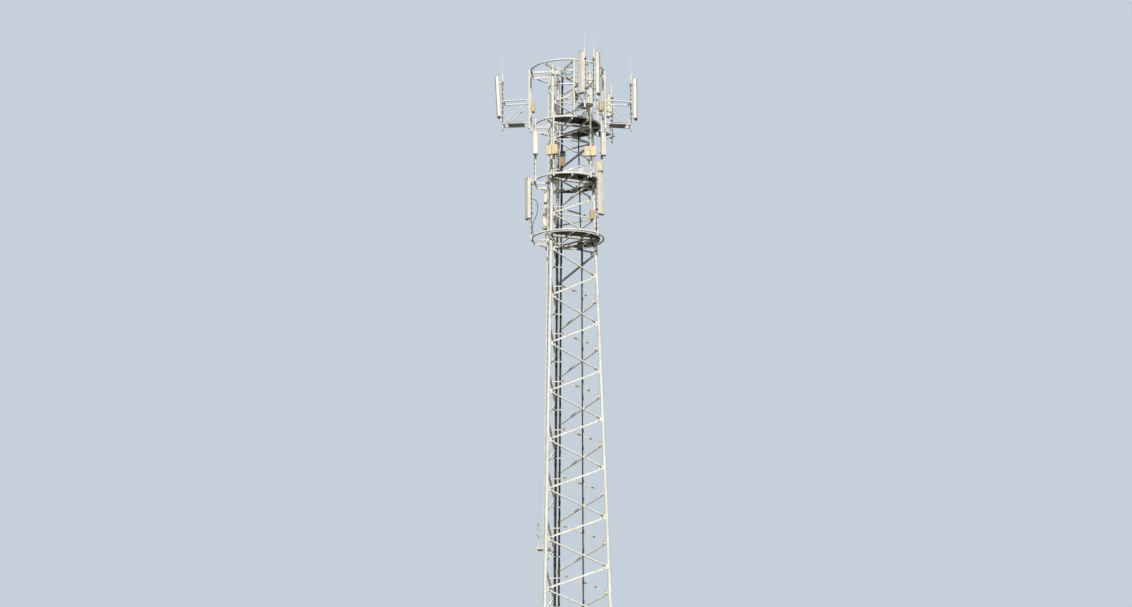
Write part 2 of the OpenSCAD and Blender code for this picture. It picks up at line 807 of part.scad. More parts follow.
lower_pole_r = ring_low_r + ring_r + seat + pole_r;
pole_over = 160;                             // inner poles reach past the rings that carry them
pole_under = 120;
pole_foot = 60;                              // outer poles reach below the upper ring
arm_size = [50, 50];
arm_shares = [0.15, 0.85];
arm_reach = 150;
antenna_corner = 32;
unit_corner = 14;
connector_d = 30;
connector_h = 38;

module at_pole(turn, r, y = 0) {
    rotate(turn) translate([r, y, 0]) rotate(-turn) children();
}

module rounded_profile(w, d, r) {
    translate([0, -w / 2 + r]) square([d, w - 2 * r]);
    translate([r, -w / 2]) square([d - 2 * r, w]);
    for (x = [r, d - r], y = [-w / 2 + r, w / 2 - r]) translate([x, y]) circle(r = r, $fn = 24);
}

// A panel antenna with its back at X = 0, facing +X, standing on Z = 0.
module panel_antenna(h, w, d, connectors) {
    linear_extrude(h) rounded_profile(w, d, antenna_corner);
    for (k = [0 : connectors - 1])
        translate([d / 2, (k - (connectors - 1) / 2) * w / (connectors + 1), -connector_h])
            cylinder(d = connector_d, h = connector_h + 2, $fn = round_fn);
}

module antenna(spot, r, ring_z, lean = 0) {
    color(radome) from_axis() at_pole(spot[0], r, spot[1]) rotate(spot[2])
        translate([pole_r + spot[4], 0, ring_z + spot[3]]) rotate([0, lean, 0])
            panel_antenna(spot[5], spot[6], antenna_d, spot[6] > short_w ? 4 : 2);
}

// Two arms from the pole, cut off where the antenna's back is.
module antenna_arms(spot, ring_z, lean = 0) {
    rotate(spot[2]) difference() {
        for (share = arm_shares)
            translate([0, -arm_size.x / 2, ring_z + spot[3] + spot[5] * share - arm_size.y / 2])
                cube([pole_r + spot[4] + arm_reach, arm_size.x, arm_size.y]);
        translate([pole_r + spot[4], 0, ring_z + spot[3]]) rotate([0, lean, 0])
            translate([0, -500, -500]) cube([1000, 1000, spot[5] + 1000]);
    }
}

module pole(from_z, to_z) {
    translate([0, 0, from_z]) cylinder(d = pole_d, h = to_z - from_z, $fn = round_fn);
}

module outer_poles() {
    color(steel) from_axis()
        for (s = outer_spots) at_pole(s[0], outer_r, s[1]) {
            pole(ring_high_z - pole_foot, tower_h + pole_rise);
            translate([0, 0, tower_h + pole_rise]) cylinder(d = rod_d, h = rod_h, $fn = 16);
            antenna_arms(s, ring_high_z, s == outer_spots[0] ? left_lean : 0);
        }
}

// Short arm from a ring's tube to a pole that stands further out.
module ring_arm(turn, ring_z, radius, r) {
    rotate(turn) translate([radius + ring_r + seat, -20, ring_z - 20])
        cube([r - radius - ring_r - seat, 40, 40]);
}

// Radio units. The bracket is a bar behind the unit, at the given height.
radio_gap = 30;
unit_bar_h = 60;
unit_side_gap = 12;
pair_rise = 755;                             // over the middle ring
pair_bar_rise = 160;
single_rise = 360;
single_facing = -102;
single_side = -55;
low_unit_rise = 545;
low_unit_facing = -160;
low_unit_side = -60;
low_unit_gap = 95;

module unit_bar(facing, z, w, gap = radio_gap) {
    rotate(facing) translate([0, -w / 2, z]) cube([pole_r + gap, w, unit_bar_h]);
}

module radio_unit(facing, z, side = 0, gap = radio_gap) {
    rotate(facing) translate([pole_r + gap, side, z])
        linear_extrude(radio_h) rounded_profile(radio_w, radio_d, unit_corner);
}

module middle_poles() {
    color(steel) from_axis() {
        for (s = middle_spots) at_pole(s[0], middle_pole_r) {
            pole(ring_mid_z - pole_under, ring_high_z + pole_over);
            antenna_arms(s, ring_mid_z);
        }
        for (s = radio_spots) at_pole(s[0], middle_pole_r) {
            pole(ring_mid_z - pole_under, ring_high_z + pole_over);
            unit_bar(s[1], ring_mid_z + pair_rise + pair_bar_rise, 2 * radio_w);
        }
        at_pole(middle_spots[1][0], middle_pole_r)
            unit_bar(single_facing, ring_mid_z + single_rise + pair_bar_rise, radio_w / 3);
    }
}

module radio_units_middle() {
    color(unit_paint) from_axis() {
        for (s = radio_spots, side = [-1, 1]) at_pole(s[0], middle_pole_r)
            radio_unit(s[1], ring_mid_z + pair_rise, side * (radio_w / 2 + unit_side_gap));
        at_pole(middle_spots[1][0], middle_pole_r)
            radio_unit(single_facing, ring_mid_z + single_rise, single_side);
    }
}

module lower_poles() {
    color(steel) from_axis() {
        for (s = lower_spots) {
            at_pole(s[0], lower_pole_r) {
                pole(ring_low_z - pole_under, ring_mid_z + pole_over);
                antenna_arms(s, ring_low_z);
            }
            ring_arm(s[0], ring_mid_z, ring_mid_r, lower_pole_r);
        }
        at_pole(lower_spots[1][0], lower_pole_r)
            unit_bar(low_unit_facing, ring_low_z + low_unit_rise + pair_bar_rise, radio_w / 3,
                low_unit_gap);
    }
}

module radio_units_lower() {
    color(unit_paint) from_axis() at_pole(lower_spots[1][0], lower_pole_r)
        radio_unit(low_unit_facing, ring_low_z + low_unit_rise, low_unit_side, low_unit_gap);
}

// The rear panel has a wide lower part and a narrower upper part: width, depth and height.
rear_top = [170, 100, 750];
rear_corner = 30;

module lower_antenna_rear() {
    s = lower_spots[2];
    color(radome) from_axis() at_pole(s[0], lower_pole_r) rotate(s[2])
        translate([pole_r + s[4], 0, ring_low_z + s[3]]) {
            linear_extrude(s[5]) rounded_profile(s[6], antenna_d, antenna_corner);
            translate([0, 0, s[5]]) linear_extrude(rear_top.z)
                rounded_profile(rear_top.x, rear_top.y, rear_corner);
        }
}

// Radio units on the outriggers' posts: [outrigger, side of its post, facing, height over the ring].
post_units = [
    [left_turn, 1, left_turn + 180, 620],
    [front_turn, -1, 75, 700],
    [right_turn, -1, right_turn + 180, 690]
];
post_unit_gap = 45;

module radio_unit_upper() {
    color(unit_paint) from_axis()
        for (u = post_units)
            at_pole(u[0], post_x, u[1] * outrigger_w / 2) rotate(u[2]) {
                translate([post_r + seat, -unit_bar_h / 2, ring_high_z + u[3] + pair_bar_rise])
                    cube([post_unit_gap, unit_bar_h, unit_bar_h]);
                translate([post_r + seat + post_unit_gap - 1, 0, ring_high_z + u[3]])
                    linear_extrude(radio_h) rounded_profile(radio_w, radio_d, unit_corner);
            }
}

// A cabinet on two bars across the cable ladder, a small box on the middle deck, and the slim
// rail's box below the lowest ring.
cabinet = [200, 620, 215];                   // depth, height, width
cabinet_rise = 640;
cabinet_in = 160;                            // from the cable ladder's near edge
cabinet_bar = [14, 40];
deck_box = [220, 160, 280];
deck_box_spot = [430, -1150];

module equipment_box() {
    base_z = ring_mid_z + cabinet_rise;
    front = tray_d / 2;
    far = tray_in + cabinet_in + cabinet.z;
    color(unit_paint) from_axis() {
        on_face(left_face, base_z, side_at(base_z) / 2 + tray_shift, true) {
            for (y = [100, cabinet.y - 180])
                translate([front, y, -far])
                    cube([cabinet_bar.x, cabinet_bar.y, far - tray_in]);
            translate([front + cabinet_bar.x, 0, -far]) cube([cabinet.x, cabinet.y, cabinet.z]);
        }
        translate([deck_box_spot.x, deck_box_spot.y, beam_z(ring_mid_z) + beam_h / 2 + deck_t])
            cube(deck_box);
        at_box() translate([-box_size.x / 2, 0, -box_size.z]) cube(box_size);
    }
}

// Free jumper cables. One loops from a lower pole to the lowest ring, and three hang from the
// feeders' tops to the front outrigger. A route lists points on the cable's centre line.
gland_d = 38;
gland_h = 42;
feeder_gland_d = 27;
jumper_rings = 20;
jumper_sides = 10;
low_route = [
    [-1446, -365, 29270], [-1362, -365, 29252], [-1290, -365, 29160], [-1256, -365, 29000],
    [-1254, -365, 28810], [-1300, -365, 28590], [-1375, -365, 28400], [-1440, -365, 28210],
    [-1464, -365, 28020], [-1450, -365, 27850], [-1445, -365, 27730]
];
long_route = [
    [-229, -158, 34630], [-229, -158, 34730], [-232, -220, 34900], [-195, -370, 35005],
    [-110, -530, 34992], [-10, -760, 34900], [90, -1010, 34810], [205, -1250, 34755],
    [275, -1395, 34750], [287, -1490, 34750]
];
middle_route = [
    [-201, -162, 34630], [-201, -166, 34726], [-200, -240, 34830], [-150, -375, 34852],
    [-85, -500, 34780], [-10, -650, 34660], [75, -860, 34550], [160, -1090, 34502],
    [232, -1270, 34545], [276, -1395, 34593], [287, -1490, 34600]
];
short_route = [
    [-172, -165, 34630], [-172, -171, 34722], [-163, -250, 34798], [-118, -375, 34782],
    [-62, -500, 34672], [0, -645, 34520], [58, -800, 34385], [118, -985, 34290],
    [178, -1155, 34268], [238, -1300, 34322], [277, -1400, 34385], [287, -1490, 34400]
];
low_side = [0, 1, 0];
top_side_way = [0.94, 0.33, 0];              // level and square to the three upper routes

function spline(a, b, c, d, t) =
    0.5 * (2 * b + (c - a) * t + (2 * a - 5 * b + 4 * c - d) * t * t
        + (3 * b - a - 3 * c + d) * t * t * t);
function route_point(route, way) =
    let (last = len(route) - 1, i = min(floor(way), last - 1))
    spline(route[max(i - 1, 0)], route[i], route[i + 1], route[min(i + 2, last)], way - i);
function route_way(route, way) =
    let (last = len(route) - 1)
    unit(route_point(route, min(way + 0.02, last)) - route_point(route, max(way - 0.02, 0)));
function ring_at(route, way, side) =
    let (along = route_way(route, way), u = unit(side - (side * along) * along), v = cross(along, u))
    [for (k = [0 : jumper_sides - 1]) let (a = 360 * k / jumper_sides)
        route_point(route, way) + jumper_d / 2 * (cos(a) * u + sin(a) * v)];

module jumper(route, side) {
    ways = [for (k = [0 : jumper_rings - 1]) k * (len(route) - 1) / (jumper_rings - 1)];
    n = jumper_sides;
    color(cable_black) from_axis() polyhedron(
        points = [for (way = ways) each ring_at(route, way, side)],
        faces = concat(
            [[for (k = [0 : n - 1]) k]],
            [[for (k = [n - 1 : -1 : 0]) (jumper_rings - 1) * n + k]],
            [for (r = [0 : jumper_rings - 2], k = [0 : n - 1])
                let (a = r * n + k, b = r * n + (k + 1) % n) each [[a, a + n, b], [b, a + n, b + n]]]
        ), convexity = 4);
}

module jumper_low() {
    jumper(low_route, low_side);
}

module jumper_top(route) {
    jumper(route, top_side_way);
}

// Glands: one on the pole, one on the ring, three on the feeders and three on a post.
module jumper_glands() {
    color(steel) from_axis() {
        start = low_route[0];
        end = low_route[len(low_route) - 1];
        rod([start.x - gland_h, start.y, start.z], start, gland_d);
        rod([end.x, end.y, ring_low_z + ring_r + seat], end, gland_d);
        for (k = [0 : 2]) {
            top = tray_point(feeder_top_z, far_feeder(k), feeder_deep);
            rod(top, [top.x, top.y, long_route[0].z], feeder_gland_d);
        }
        for (route = [long_route, middle_route, short_route]) {
            end = route[len(route) - 1];
            rod([end.x, end.y - gland_h, end.z], end, gland_d);
        }
    }
}

foot(0);  // foot_left
foot(1);  // foot_right
foot(2);  // foot_rear
leg(0);  // leg_left
leg(1);  // leg_right
leg(2);  // leg_rear
bracing(0);  // bracing_front
bracing(1);  // bracing_right
bracing(2);  // bracing_left
climbing_ladder();
ladder_brackets();
rest_platform_floor();
rest_platform_rail();
cable_ladder();
feeder_cables();
cable_rail();
rail_cables();
ring(tower_h, ring_top_r);  // top_ring
ring(ring_high_z, ring_mid_r);  // upper_ring
ring(ring_mid_z, ring_mid_r);  // middle_ring
ring(ring_low_z, ring_low_r);  // lower_ring
ring_frame(tower_h, ring_top_r);  // top_ring_frame
ring_frame(ring_high_z, ring_mid_r);  // upper_frame
ring_frame(ring_mid_z, ring_mid_r);  // middle_frame
ring_frame(ring_low_z, ring_low_r);  // lower_frame
deck(ring_high_z, ring_mid_r);  // upper_deck
deck(ring_mid_z, ring_mid_r);  // middle_deck
deck(ring_low_z, ring_mid_r);  // lower_deck
outrigger(left_turn);  // outrigger_left
outrigger(right_turn);  // outrigger_right
outrigger(front_turn);  // outrigger_front
outrigger(rear_turn);  // outrigger_rear
outer_poles();
middle_poles();
lower_poles();
antenna(outer_spots[0], outer_r, ring_high_z, left_lean);  // antenna_left
antenna(outer_spots[1], outer_r, ring_high_z);  // antenna_front_left
antenna(outer_spots[2], outer_r, ring_high_z);  // antenna_front_right
antenna(outer_spots[3], outer_r, ring_high_z);  // antenna_right
antenna(outer_spots[4], outer_r, ring_high_z);  // antenna_rear
antenna(middle_spots[0], middle_pole_r, ring_mid_z);  // short_antenna_left
antenna(middle_spots[1], middle_pole_r, ring_mid_z);  // short_antenna_right
antenna(lower_spots[0], lower_pole_r, ring_low_z);  // lower_antenna_left
antenna(lower_spots[1], lower_pole_r, ring_low_z);  // lower_antenna_right
lower_antenna_rear();
radio_units_middle();
radio_units_lower();
radio_unit_upper();
equipment_box();
jumper_glands();
jumper_low();
jumper_top(long_route);  // jumper_top_long
jumper_top(middle_route);  // jumper_top_middle
jumper_top(short_route);  // jumper_top_short
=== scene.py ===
import math
import random

import bpy
from mathutils import Matrix, Vector


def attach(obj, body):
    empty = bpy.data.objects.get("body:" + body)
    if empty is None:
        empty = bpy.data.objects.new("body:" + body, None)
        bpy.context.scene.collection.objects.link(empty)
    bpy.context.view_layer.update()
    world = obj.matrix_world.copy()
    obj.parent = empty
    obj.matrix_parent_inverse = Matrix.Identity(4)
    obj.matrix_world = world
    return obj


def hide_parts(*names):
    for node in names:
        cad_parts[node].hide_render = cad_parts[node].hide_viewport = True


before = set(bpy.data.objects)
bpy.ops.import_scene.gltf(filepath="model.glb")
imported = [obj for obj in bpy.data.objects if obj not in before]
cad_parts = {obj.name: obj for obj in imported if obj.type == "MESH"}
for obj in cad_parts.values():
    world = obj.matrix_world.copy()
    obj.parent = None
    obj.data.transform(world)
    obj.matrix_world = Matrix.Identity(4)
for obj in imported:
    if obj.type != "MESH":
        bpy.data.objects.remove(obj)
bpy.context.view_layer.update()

random.seed(11)
bpy.context.scene.view_settings.view_transform = "Standard"


# Colours, shader nodes and materials

def colour(hexCode):
    values = [int(hexCode[k:k + 2], 16) / 255 for k in (1, 3, 5)]
    linear = [v / 12.92 if v <= 0.04045 else ((v + 0.055) / 1.055) ** 2.4 for v in values]
    return (*linear, 1.0)


def addNode(tree, kind, sockets=None, stops=(), **settings):
    # a socket takes a value, or the output that is linked to it; stops are for a colour ramp
    made = tree.nodes.new("ShaderNode" + kind)
    for key, value in settings.items():
        setattr(made, key, value)
    for key, value in (sockets or {}).items():
        if isinstance(value, bpy.types.NodeSocket):
            tree.links.new(value, made.inputs[key])
        else:
            made.inputs[key].default_value = value
    if stops:
        bar = made.color_ramp.elements
        while len(bar) < len(stops):
            bar.new(0.5)
        for element, (spot, value) in zip(bar, stops):
            element.position = spot
            element.color = colour(value) if isinstance(value, str) else (value, value, value, 1)
    return made


def startMaterial(name):
    material = bpy.data.materials.new(name)
    material.use_nodes = True
    tree = material.node_tree
    tree.nodes.clear()
    return material, tree, addNode(tree, "TexCoord").outputs["Object"]


def finishMaterial(material, sockets):
    shader = addNode(material.node_tree, "BsdfPrincipled", sockets)
    addNode(material.node_tree, "OutputMaterial", {"Surface": shader.outputs["BSDF"]})
    return material


def like(look, **changes):
    return {**look, **changes}


# Hot-dip galvanised steel, dipped and then left outdoors: crystals of zinc in slightly different
# greys under a dull chalky patina, which gives the eye a cream-grey metal with soft patches.
def galvanisedSteel(name, look, tread=None):
    material, tree, place = startMaterial(name)
    crystals = addNode(tree, "TexVoronoi", {
        "Vector": place, "Scale": 1000 / look["crystalMm"], "Randomness": 1.0})
    crystalTone = addNode(tree, "SeparateColor", {"Color": crystals.outputs["Color"]}).outputs
    patches = addNode(tree, "TexNoise", {
        "Vector": place, "Scale": 1000 / look["patchMm"], "Detail": 5.0, "Roughness": 0.6}).outputs["Fac"]
    streakSpace = addNode(tree, "Mapping", {"Vector": place, "Scale": (1.0, 1.0, 0.12)})
    streaks = addNode(tree, "TexNoise", {
        "Vector": streakSpace.outputs["Vector"], "Scale": 1000 / look["streakMm"], "Detail": 4.0,
        "Roughness": 0.55})
    patina = addNode(tree, "ValToRGB", {"Fac": patches}, [
        (0.3, look["dark"]), (0.55, look["base"]), (0.75, look["pale"])])
    flecks = addNode(tree, "ValToRGB", {"Fac": crystalTone["Red"]}, [
        (0.0, look["dark"]), (1.0, look["pale"])])
    stains = addNode(tree, "ValToRGB", {"Fac": streaks.outputs["Fac"]}, [(0.35, look["stain"]), (0.6, 1)])
    speckled = addNode(tree, "Mix", {
        "Factor": look["crystalShow"], "A": patina.outputs["Color"], "B": flecks.outputs["Color"]},
        data_type="RGBA", blend_type="MIX")
    tone = addNode(tree, "Mix", {
        "Factor": look["stainShow"], "A": speckled.outputs["Result"], "B": stains.outputs["Color"]},
        data_type="RGBA", blend_type="MULTIPLY").outputs["Result"]
    if tread:
        # the tread's bars lie between two heights and two distances from the tower's axis, and there the zinc
        # is painted near black: painted shade for the walkway's underside seen from below
        spot = addNode(tree, "SeparateXYZ", {"Vector": place})
        away = addNode(tree, "VectorMath", {0: place, 1: (*tread["centre"], 0)}, operation="SUBTRACT")
        flat = addNode(tree, "VectorMath", {0: away.outputs["Vector"], 1: (1, 1, 0)}, operation="MULTIPLY")
        reach = addNode(tree, "VectorMath", {0: flat.outputs["Vector"]}, operation="LENGTH")
        inside = 1.0
        for value, ends in ((spot.outputs["Z"], tread["heights"]), (reach.outputs["Value"], tread["reach"])):
            for end, side in zip(ends, ("GREATER_THAN", "LESS_THAN")):
                held = addNode(tree, "Math", {0: value, 1: end}, operation=side)
                both = addNode(tree, "Math", {0: inside, 1: held.outputs[0]}, operation="MULTIPLY")
                inside = both.outputs[0]
        walkwayShade = addNode(tree, "ValToRGB", {"Fac": patches}, [(0.3, tread["dark"]), (0.7, tread["base"])])
        tone = addNode(tree, "Mix", {"Factor": inside, "A": tone, "B": walkwayShade.outputs["Color"]},
                       data_type="RGBA").outputs["Result"]
    rough = addNode(tree, "ValToRGB", {"Fac": crystalTone["Green"]}, [
        (0.0, look["rough"] - 0.08), (1.0, look["rough"] + 0.1)])
    relief = addNode(tree, "Bump", {"Height": patches, "Strength": look["bump"], "Distance": 0.002})
    return finishMaterial(material, {
        "Metallic": look["metal"], "Specular IOR Level": look["specular"], "Base Color": tone,
        "Roughness": rough.outputs["Color"], "Normal": relief.outputs["Normal"]})


zincLook = {"metal": 0.04, "specular": 0.3, "crystalMm": 26, "patchMm": 260, "streakMm": 90,
            "dark": "#cbc9be", "base": "#e5e3d9", "pale": "#f3f1e9", "stain": "#cdc3ab", "crystalShow": 0.3,
            "stainShow": 0.35, "rough": 0.5, "bump": 0.25}
poleLook = like(zincLook, crystalMm=20, dark="#d8d6cc", base="#eeece3", pale="#f8f6f0")
legSteel = galvanisedSteel("zinc_dipped_leg_tube", like(
    zincLook, dark="#dad8ce", base="#f0eee6", pale="#faf9f4"))
braceSteel = galvanisedSteel("zinc_dipped_angle_bar", like(zincLook, crystalMm=18, patchMm=180))
ladderSteel = galvanisedSteel("zinc_dipped_ladder_bar", like(zincLook, crystalMm=15, base="#dedcd2"))
platformSteel = galvanisedSteel("zinc_dipped_platform_beam", like(zincLook, base="#dcd8cb", stainShow=0.5))
# Deck grating: zinc coloured near black, which is painted shade for the decks' undersides seen from below
gratingPaintedShade = galvanisedSteel("zinc_dipped_grating_painted_shade", like(
    zincLook, dark="#2b2a27", base="#3b3935", pale="#4e4b45", crystalMm=12, rough=0.75, specular=0.2))
poleSteel = galvanisedSteel("zinc_dipped_pole_tube", poleLook)
boltSteel = galvanisedSteel("spun_zinc_bolt", like(
    zincLook, crystalMm=6, patchMm=40, dark="#7d7b74", base="#9a978d", pale="#b9b5a8", metal=0.6))


# Glass-fibre radome, moulded and painted ivory: smooth, satin, with faint rain streaks and
# a chalky bloom, which gives the eye a warm white plastic that isn't quite even.
def radomePlastic(name, look):
    material, tree, place = startMaterial(name)
    fallen = addNode(tree, "Mapping", {"Vector": place, "Scale": (1.0, 1.0, 0.06)}).outputs["Vector"]
    bloom, rain, grain = [
        addNode(tree, "TexNoise", {
            "Vector": space, "Scale": 1000 / look[size], "Detail": detail}).outputs["Fac"]
        for space, size, detail in (
            (place, "bloomMm", 4.0), (fallen, "rainMm", 5.0), (place, "grainMm", 2.0))]
    body = addNode(tree, "ValToRGB", {"Fac": bloom}, [(0.3, look["shade"]), (0.65, look["base"])])
    dirt = addNode(tree, "ValToRGB", {"Fac": rain}, [(0.38, look["dirt"]), (0.58, 1)])
    streaked = addNode(tree, "Mix", {
        "Factor": look["rainShow"], "A": body.outputs["Color"], "B": dirt.outputs["Color"]},
        data_type="RGBA", blend_type="MULTIPLY")
    rough = addNode(tree, "ValToRGB", {"Fac": bloom}, [(0.3, 0.42), (0.7, 0.56)])
    relief = addNode(tree, "Bump", {"Height": grain, "Strength": 0.12, "Distance": 0.0006})
    return finishMaterial(material, {
        "IOR": 1.5, "Specular IOR Level": 0.4, "Base Color": streaked.outputs["Result"],
        "Roughness": rough.outputs["Color"], "Normal": relief.outputs["Normal"]})


radomeLook = {"bloomMm": 400, "rainMm": 45, "grainMm": 7, "base": "#f5f1e6", "shade": "#ece5d4",
              "dirt": "#d2c6ac", "rainShow": 0.35}
ivoryRadome = radomePlastic("moulded_ivory_radome", radomeLook)
capPlastic = radomePlastic("moulded_grey_end_cap", like(
    radomeLook, base="#b9b5a9", shade="#a5a196", grainMm=4))


# A thin outer skin, dusty in soft patches. The powder is sprayed and baked, and the jacket and
# the black plastic are pressed through a die or into a mould, so only the powder has a peel.
def dustySkin(name, look, **changes):
    look = like(look, **changes)
    material, tree, place = startMaterial(name)
    dust, peel = [
        addNode(tree, "TexNoise", {"Vector": place, "Scale": 1000 / size, "Detail": detail}).outputs["Fac"]
        for size, detail in ((look["dustMm"], look["dustDetail"]), (look["peelMm"] or look["dustMm"], 1.0))]
    tone = addNode(tree, "ValToRGB", {"Fac": dust}, list(zip(look["dustEnds"], (look["low"], look["high"]))))
    rough = addNode(tree, "ValToRGB", {"Fac": dust}, list(zip((0.3, 0.7), look["rough"])))
    relief = addNode(tree, "Bump", {"Height": peel if look["peelMm"] else dust, "Strength": look["bump"],
                                    "Distance": look["bumpDepth"]})
    return finishMaterial(material, {
        "IOR": 1.5, "Specular IOR Level": look["specular"], "Base Color": tone.outputs["Color"],
        "Roughness": rough.outputs["Color"], "Normal": relief.outputs["Normal"]})


# Powder-coated aluminium housings: matt, with the fine orange-peel of sprayed powder.
powderLook = {"dustMm": 160, "dustDetail": 5.0, "dustEnds": (0.32, 0.62), "peelMm": 5, "rough": (0.6, 0.48),
              "specular": 0.35, "bump": 0.2, "bumpDepth": 0.0006}
beigeCoat = dustySkin("powder_coated_beige_housing", powderLook, low="#bfa981", high="#d8c39c")
paleCoat = dustySkin("powder_coated_cream_cover", powderLook, dustMm=180, low="#d9c59e", high="#eddcb8")
brownCoat = dustySkin("powder_coated_brown_cabinet", powderLook, dustMm=140, low="#8f7a5b", high="#ae9874")
darkCoat = dustySkin("powder_coated_graphite_box", powderLook, dustMm=120, low="#2b2c2d", high="#3a3b3b")
whiteCoat = dustySkin("powder_coated_white_box", powderLook, low="#d0cabb", high="#e6e1d5")

# Extruded polyethylene jacket: near-black, smooth, greyed by sun and dust in patches.
jacketLook = {"dustMm": 120, "dustDetail": 4.0, "dustEnds": (0.4, 0.75), "peelMm": None, "rough": (0.38, 0.6),
              "specular": 0.5, "bump": 0.1, "bumpDepth": 0.0005}
blackJacket = dustySkin("extruded_black_jacket", jacketLook, low="#0f1012", high="#26272b")
blackPlastic = dustySkin("moulded_black_plastic", jacketLook, dustMm=30, low="#161719", high="#2e2f33")


# Meshes gathered in heaps of points and faces, one heap for each joined piece

def newHeap():
    return {"points": [], "faces": [], "tags": []}


def tagFaces(heap, tag):
    # the faces added since the last call get this material
    heap["tags"] += [tag] * (len(heap["faces"]) - len(heap["tags"]))


def addBlock(heap, place, low, high):
    first = len(heap["points"])
    for x in (low[0], high[0]):
        for y in (low[1], high[1]):
            for z in (low[2], high[2]):
                heap["points"].append(place @ Vector((x, y, z)))
    for loop in ((0, 1, 3, 2), (4, 6, 7, 5), (0, 4, 5, 1), (2, 3, 7, 6), (0, 2, 6, 4), (1, 5, 7, 3)):
        heap["faces"].append([first + k for k in loop])


def addLoft(heap, place, loops):
    # rings of as many points each, joined in order and closed at both ends
    first, sides = len(heap["points"]), len(loops[0])
    for loop in loops:
        heap["points"] += [place @ Vector(point) for point in loop]
    for k in range(len(loops) - 1):
        for s in range(sides):
            a, b = first + k * sides + s, first + k * sides + (s + 1) % sides
            heap["faces"].append([a, b, b + sides, a + sides])
    last = first + (len(loops) - 1) * sides
    heap["faces"].append([first + s for s in reversed(range(sides))])
    heap["faces"].append([last + s for s in range(sides)])


def addTurned(heap, place, profile, sides, turn=0.0):
    # profile lists (radius, height) up the local Z axis
    turns = [turn + 2 * math.pi * s / sides for s in range(sides)]
    addLoft(heap, place, [[(r * math.cos(a), r * math.sin(a), z) for a in turns] for r, z in profile])


def squareTo(z):
    guide = Vector((1, 0, 0)) if abs(z.z) > 0.9 else Vector((0, 0, 1))
    return (guide - guide.dot(z) * z).normalized()


def addSweep(heap, path, radius, sides=10):
    z = (path[1] - path[0]).normalized()
    x = squareTo(z)
    turns = [2 * math.pi * s / sides for s in range(sides)]
    loops = []
    for k, point in enumerate(path):
        ahead = (path[min(k + 1, len(path) - 1)] - path[max(k - 1, 0)]).normalized()
        x = (z.rotation_difference(ahead) @ x).normalized()
        z = ahead
        y = z.cross(x)
        loops.append([point + radius * (math.cos(a) * x + math.sin(a) * y) for a in turns])
    addLoft(heap, Matrix.Identity(4), loops)


def addRounded(heap, place, depth, width, corner, rings, steps=5):
    # rectangles from x = 0 to the depth with round corners, each ring a height and an inset
    spots = ((depth - corner, 1, 0), (corner, 1, 90), (corner, -1, 180), (depth - corner, -1, 270))
    loops = []
    for z, inset in rings:
        loop = []
        for x, side, start in spots:
            for k in range(steps + 1):
                a = math.radians(start + 90 * k / steps)
                loop.append((x + (corner - inset) * math.cos(a),
                             side * (width / 2 - corner) + (corner - inset) * math.sin(a), z))
        loops.append(loop)
    addLoft(heap, place, loops)


def makePiece(name, heap, materials, sharp=35):
    tagFaces(heap, 0)
    mesh = bpy.data.meshes.new(name)
    mesh.from_pydata([tuple(p) for p in heap["points"]], [], heap["faces"])
    for material in materials:
        mesh.materials.append(material)
    mesh.polygons.foreach_set("material_index", heap["tags"])
    mesh.polygons.foreach_set("use_smooth", [True] * len(mesh.polygons))
    mesh.set_sharp_from_angle(angle=math.radians(sharp))
    mesh.validate()
    piece = bpy.data.objects.new(name, mesh)
    bpy.context.collection.objects.link(piece)
    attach(piece, "root")
    return piece


def spun(degrees, axis, size=4):
    return Matrix.Rotation(math.radians(degrees), size, axis)


def moved(x, y, z):
    return Matrix.Translation((x, y, z))


def axesAt(x, y, z, spot):
    place = Matrix((x, y, z)).transposed().to_4x4()
    place.translation = spot
    return place


def turnedTo(spot, direction):
    z = direction.normalized()
    x = squareTo(z)
    return axesAt(x, z.cross(x), z, spot)


def smoothPath(points, steps):
    # Catmull-Rom through the points, with the ends repeated
    ends = [points[0]] + list(points) + [points[-1]]
    path = []
    for k in range(1, len(ends) - 2):
        a, b, c, d = ends[k - 1:k + 3]
        for s in range(steps):
            t = s / steps
            path.append(0.5 * (2 * b + (c - a) * t + (2 * a - 5 * b + 4 * c - d) * t * t
                               + (3 * b - a - 3 * c + d) * t ** 3))
    path.append(points[-1].copy())
    return path


# The tower's own geometry, in metres, as the frame has it

tower = {"height": 35.0, "waist": 27.0, "baseSide": 3.5, "waistSide": 2.0, "topSide": 1.68,
         "rightLegAngle": -7.3}
brace = {"panel": 1.0, "lowest": 0.33, "headPanel": 0.815, "headFirst": 0.7, "thickness": 0.007,
         "end": 0.155, "gusset": 0.012, "topNode": 34.7, "strutLevels": (28.515, 31.775, 33.405),
         "strutStart": 0.225, "strutThickness": 0.005}
legAngles = [math.radians(tower["rightLegAngle"] + a) for a in (240, 0, 120)]


def sideAt(z):
    if z < tower["waist"]:
        return tower["baseSide"] + (tower["waistSide"] - tower["baseSide"]) * z / tower["waist"]
    share = (z - tower["waist"]) / (tower["height"] - tower["waist"])
    return tower["waistSide"] + (tower["topSide"] - tower["waistSide"]) * share


def polar(r, a, z=0.0):
    return Vector((r * math.cos(a), r * math.sin(a), z))


axisSpot = -polar(tower["baseSide"] / math.sqrt(3), legAngles[0])


def legPoint(i, z):
    return axisSpot + polar(sideAt(z) / math.sqrt(3), legAngles[i % 3], z)


def alongFace(f):
    # level direction from a face's first leg to its second
    return (legPoint(f + 1, 0) - legPoint(f, 0)).normalized()


def faceNormal(f, head):
    low, high = (tower["waist"], tower["height"]) if head else (0.0, tower["waist"])
    lean = (sideAt(low) - sideAt(high)) / (high - low) / (2 * math.sqrt(3))
    return polar(1, legAngles[f % 3] + math.pi / 3, lean).normalized()


def facePoint(f, z, u, w=0.0):
    along = (legPoint(f + 1, z) - legPoint(f, z)).normalized()
    return legPoint(f, z) + u * along + w * faceNormal(f, z >= tower["waist"])


